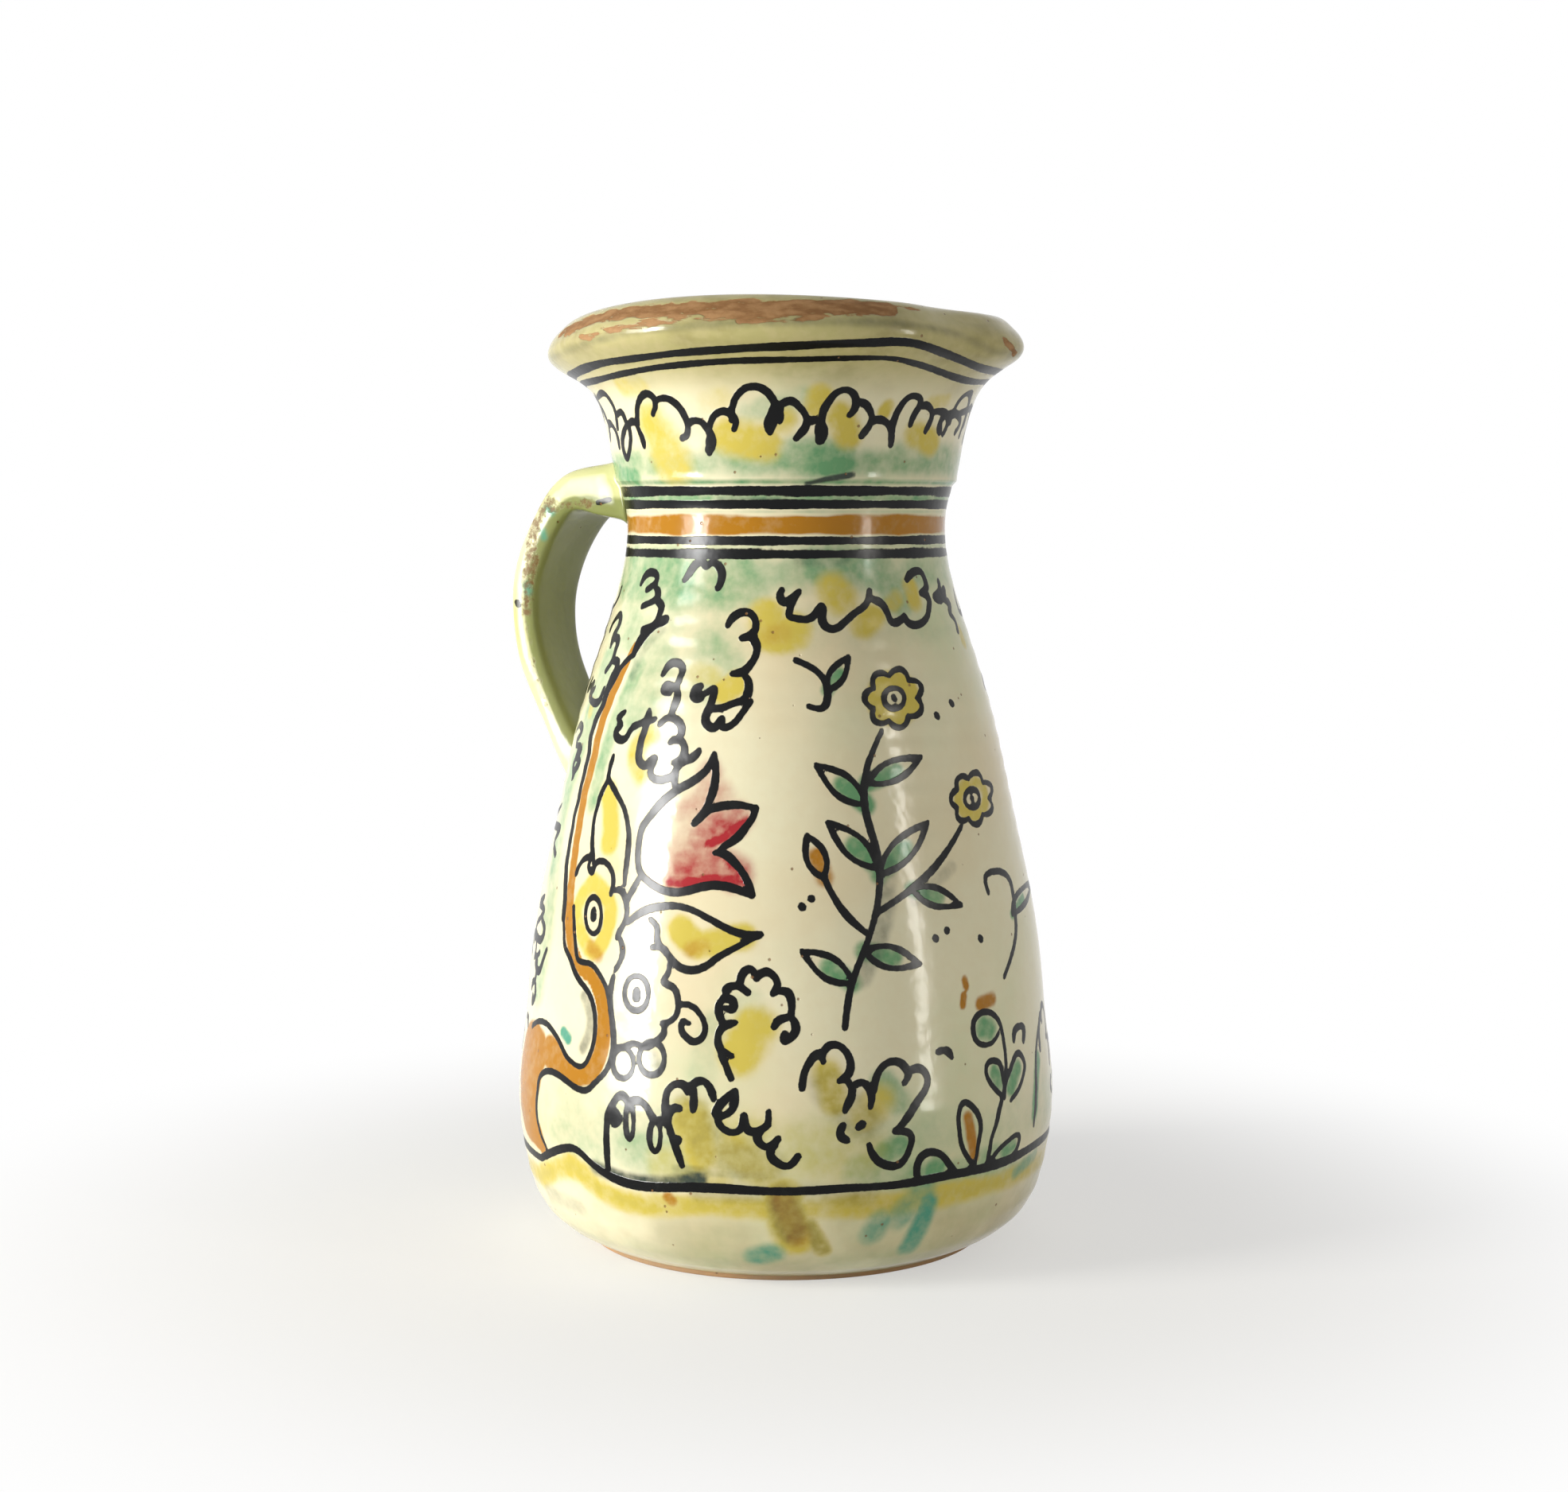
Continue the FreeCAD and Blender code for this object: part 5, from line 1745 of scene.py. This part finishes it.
def grid(wall, start, end, rows, around):
    """Points of the wall between two stations."""
    turns = np.linspace(0, math.tau, around, endpoint=False)
    stations = np.linspace(start, end, rows)
    return wall.place(turns[None, :] + np.zeros((rows, 1)), stations[:, None] + np.zeros((1, around)))


def painted_wall(scene):
    """The wall and its painting."""
    wall = Wall(scene.jug_wall)
    return wall, Painting(wall, Picture(scene.jug_studio))


class JUG_OT_body_glaze(bpy.types.Operator):
    """Makes the painted coat from the foot up to the ledge under the mouth"""

    bl_idname = "jug.body_glaze"
    bl_label = "Body glaze"

    def execute(self, context):
        wall, painting = painted_wall(context.scene)
        rows = grid(wall, 0.0, wall.station("collar"), BODY_ROWS, BODY_COLUMNS)
        normals = grid_normals(rows)
        tuck = rows[:1].copy()
        tuck[..., :2] *= 1 - wall.sizes.coat * TUCK_SHARE / wall.sizes.foot_radius
        rows = np.concatenate([tuck, rows])
        normals = np.concatenate([normals[:1], normals])
        material = painted_material(context.scene.jug_look)
        middle = len(rows) // 2
        parts = {"belly_glaze": slice(0, middle + 1), "shoulder_glaze": slice(middle, None)}
        for name, part in parts.items():
            fields = painting.fields(rows[part].reshape(-1, 3))
            mesh = make_mesh(name, rows[part], fields, normals=normals[part])
            add_piece(name, mesh, material, "painted_glaze", "outside_glaze")
        return {"FINISHED"}


class JUG_OT_mouth_glaze(bpy.types.Operator):
    """Makes the painted coat from the ledge over the rim and down into the throat"""

    bl_idname = "jug.mouth_glaze"
    bl_label = "Mouth glaze"

    def execute(self, context):
        wall, painting = painted_wall(context.scene)
        end = wall.station("throat") + MOUTH_INSIDE
        rows = grid(wall, wall.station("collar"), end, MOUTH_ROWS, WALL_COLUMNS)
        mesh = make_mesh("mouth_glaze", rows, painting.fields(rows.reshape(-1, 3)))
        material = bpy.data.materials.get("painted_glaze_look")
        if material is None:
            material = painted_material(context.scene.jug_look)
        add_piece("mouth_glaze", mesh, material, "painted_glaze", "outside_glaze")
        return {"FINISHED"}


class JUG_OT_inside_glaze(bpy.types.Operator):
    """Makes the plain coat down the inside and over the floor"""

    bl_idname = "jug.inside_glaze"
    bl_label = "Inside glaze"

    def execute(self, context):
        wall = Wall(context.scene.jug_wall)
        start = wall.station("throat") + MOUTH_INSIDE
        rows = grid(wall, start, wall.station("floor"), INSIDE_ROWS, INSIDE_COLUMNS)
        edge = rows[-1]
        centre = np.array([0.0, 0.0, edge[:, 2].mean()])
        shares = np.linspace(1, 0, FLOOR_ROWS, endpoint=False)[1:]
        rows = np.concatenate([rows, [centre + (edge - centre) * part for part in shares]])
        mesh = make_mesh("inner_glaze", rows, {}, centre)
        material = plain_material(context.scene.jug_look)
        add_piece("inner_glaze", mesh, material, "plain_glaze", "inside_glaze")
        return {"FINISHED"}


class JUG_OT_handle_coat(bpy.types.Operator):
    """Makes the strap handle's coat, flowing out on to the wall at both ends"""

    bl_idname = "jug.handle_coat"
    bl_label = "Handle glaze"

    def execute(self, context):
        scene = context.scene
        wall = Wall(scene.jug_wall)
        strap = Strap(wall, scene.jug_handle)
        picture = Picture(scene.jug_studio)
        points = strap.rows.reshape(-1, 3)
        normals = grid_normals(strap.rows).reshape(-1, 3)
        shown = (normals * (picture.origin - points)).sum(axis=1) > 0
        places = picture.places(points)
        # The inside amount marks the strap's inner face, which is given darker olive and painted shade.
        fields = {"inside": np.tile(strap.inner_side, (len(strap.rows), 1)).ravel()}
        for name, washes in (("wear", HANDLE_WEAR), ("turquoise", HANDLE_SPLASHES)):
            marks = []
            for strength, half_width, run in washes:
                line = self.flat(smooth_curve(run, LINE_PARTS))
                widths = np.full(len(line), float(half_width))
                marks.append((line, widths, strength, HANDLE_SOFT_SHARE))
            fields[name] = wash_amount(places, marks) * shown
        ink = np.full(len(points), FAR_FROM_INK)
        for run in HANDLE_INK:
            line = self.flat(smooth_curve(run, LINE_PARTS))
            gap = line_distance(places, line, np.full(len(line), LINE_HALF_WIDTH * THIN_SHARE))
            ink = np.minimum(ink, np.where(shown, gap * PIXEL * MILLIMETRES, FAR_FROM_INK))
        fields["ink"] = ink
        mesh = make_mesh("handle_coat", strap.rows, fields, ends=True)
        material = handle_material(scene.jug_look)
        add_piece("handle_coat", mesh, material, "handle_glaze", "handle_glaze")
        return {"FINISHED"}

    def flat(self, line):
        """A run of places as points."""
        return np.concatenate([line, np.zeros((len(line), 1))], axis=1)


class JUG_OT_bare_clay(bpy.types.Operator):
    """Gives the thrown body, the strap and the slip that joins them their fired clay"""

    bl_idname = "jug.bare_clay"
    bl_label = "Bare clay"

    def execute(self, context):
        look = context.scene.jug_look
        clay = clay_material("fired_clay_look", look.bare, look.pale_clay)
        slip = clay_material("fired_slip_look", look.bare, look.pale_clay)
        clay_nodes = {
            "thrown_body": clay,
            "pulled_handle": clay,
            "upper_handle_lute": slip,
            "lower_handle_lute": slip,
        }
        for name, material in clay_nodes.items():
            node = bpy.data.objects.get(name)
            if node is None:
                raise RuntimeError(f"{name} isn't in the frame")
            node.data.materials.clear()
            node.data.materials.append(material)
        return {"FINISHED"}


class JUG_OT_studio(bpy.types.Operator):
    """Sets up the floor, the lamps, the background and the camera"""

    bl_idname = "jug.studio"
    bl_label = "Studio"

    def execute(self, context):
        scene = context.scene
        studio = scene.jug_studio
        self.add_camera(scene, studio)
        self.add_floor(scene, studio)
        self.add_world(scene, studio)
        for name, turn, rise, size, power, power_share, tone in LAMPS:
            lamp = self.lamp(name, turn, rise, size, getattr(studio, power) * power_share, tone)
            lamp.visible_diffuse = power != "strip_power"
            scene.collection.objects.link(lamp)
        scene.view_settings.view_transform = "Standard"
        return {"FINISHED"}

    def facing(self, origin, target):
        """A placement at the origin whose -Z looks at the target, with Z of the world up."""
        back = origin - target
        back = back / np.linalg.norm(back)
        across = np.cross([0.0, 0.0, 1.0], back)
        across = across / np.linalg.norm(across)
        up = np.cross(back, across)
        rows = np.eye(4)
        rows[:3] = np.stack([across, up, back, origin], axis=1)
        return Matrix(rows.tolist())

    def add_camera(self, scene, studio):
        """The camera that took the picture."""
        picture = Picture(studio)
        data = bpy.data.cameras.new("camera")
        data.sensor_fit = "HORIZONTAL"
        data.sensor_width = studio.sensor
        data.lens = studio.focal_pixels * studio.sensor / PICTURE_WIDTH
        data.clip_start = studio.distance / CLIP_SHARE
        data.clip_end = studio.distance * CLIP_SHARE
        camera = bpy.data.objects.new("camera", data)
        camera.matrix_world = self.facing(picture.origin, picture.origin + picture.ahead)
        scene.collection.objects.link(camera)
        scene.camera = camera

    def add_floor(self, scene, studio):
        """A pale floor that keeps the jug's shadow and fades into the background."""
        mesh = bpy.data.meshes.new("floor")
        half = FLOOR_SIZE / 2
        corners = [(-half, -half, 0.0), (half, -half, 0.0), (half, half, 0.0), (-half, half, 0.0)]
        mesh.from_pydata(corners, [], [(0, 1, 2, 3)])
        floor = bpy.data.objects.new("floor", mesh)
        scene.collection.objects.link(floor)
        material = bpy.data.materials.new("floor_look")
        nodes = Nodes(material)
        here = nodes.node("ShaderNodeTexCoord", {}, {}, "Object")
        apart = nodes.node("ShaderNodeVectorMath", {"operation": "LENGTH"}, {0: here}, "Value")
        fade = nodes.ease(apart, FLOOR_FADE_START, FLOOR_FADE_END)
        cloud = nodes.noise(FLOOR_CLOUD_SCALE) * FLOOR_CLOUD_SHARE
        here = nodes.mix(cloud, studio.floor, studio.floor_shade)
        inputs = {"Base Color": here, "Roughness": FLOOR_ROUGHNESS}
        plain = nodes.node("ShaderNodeBsdfPrincipled", {}, inputs)
        white = nodes.node("ShaderNodeEmission", {}, {"Color": (1.0, 1.0, 1.0, 1.0), "Strength": 1.0})
        shown = (FLOOR_GLOW + (1.0 - FLOOR_GLOW) * fade) * nodes.seen()
        surface = nodes.node("ShaderNodeMixShader", {}, {0: shown, 1: plain, 2: white})
        nodes.node("ShaderNodeOutputMaterial", {}, {"Surface": surface})
        mesh.materials.append(material)

    def add_world(self, scene, studio):
        """Soft light from all round, in front of a white background."""
        world = bpy.data.worlds.new("studio")
        scene.world = world
        nodes = Nodes(world)
        strength = studio.ambient + nodes.seen() * (1.0 - studio.ambient)
        inputs = {"Color": (1.0, 1.0, 1.0, 1.0), "Strength": strength}
        white = nodes.node("ShaderNodeBackground", {}, inputs)
        nodes.node("ShaderNodeOutputWorld", {}, {"Surface": white})

    def lamp(self, name, turn, rise, size, power, tone):
        """A soft box at an angle round the jug."""
        data = bpy.data.lights.new(name, "AREA")
        data.shape = "RECTANGLE"
        data.size, data.size_y = size
        data.energy = power
        data.color = tone
        lamp = bpy.data.objects.new(name, data)
        around = math.radians(turn)
        origin = np.array([LAMP_AWAY * math.cos(around), LAMP_AWAY * math.sin(around), rise])
        lamp.visible_camera = False
        lamp.matrix_world = self.facing(origin, np.array([0.0, 0.0, LAMP_AIM]))
        return lamp


STEPS = (
    JUG_OT_bare_clay,
    JUG_OT_body_glaze,
    JUG_OT_mouth_glaze,
    JUG_OT_inside_glaze,
    JUG_OT_handle_coat,
    JUG_OT_studio,
)


class VIEW3D_PT_jug(bpy.types.Panel):
    """The jug's pieces and sizes in the sidebar"""

    bl_label = "Painted Jug"
    bl_space_type = "VIEW_3D"
    bl_region_type = "UI"
    bl_category = "Jug"

    def draw(self, context):
        for step in STEPS:
            self.layout.operator(step.bl_idname)
        for group, kind in GROUPS.items():
            column = self.layout.column()
            for name in kind.__annotations__:
                column.prop(getattr(context.scene, group), name)


GROUPS = {
    "jug_wall": JugWallSizes,
    "jug_handle": JugHandleSizes,
    "jug_look": JugLook,
    "jug_studio": JugStudio,
}


def register():
    """Adds the sizes, the operators and the panel."""
    for name, group in GROUPS.items():
        bpy.utils.register_class(group)
        setattr(bpy.types.Scene, name, PointerProperty(type=group))
    for step in STEPS:
        bpy.utils.register_class(step)
    bpy.utils.register_class(VIEW3D_PT_jug)


def unregister():
    """Takes them away again."""
    bpy.utils.unregister_class(VIEW3D_PT_jug)
    for step in reversed(STEPS):
        bpy.utils.unregister_class(step)
    for name, group in GROUPS.items():
        delattr(bpy.types.Scene, name)
        bpy.utils.unregister_class(group)


def main():
    """Builds the jug."""
    register()
    for step in STEPS:
        area, name = step.bl_idname.split(".")
        if getattr(getattr(bpy.ops, area), name)() != {"FINISHED"}:
            raise RuntimeError(f"{step.bl_label} failed")


if __name__ == "__main__":
    main()
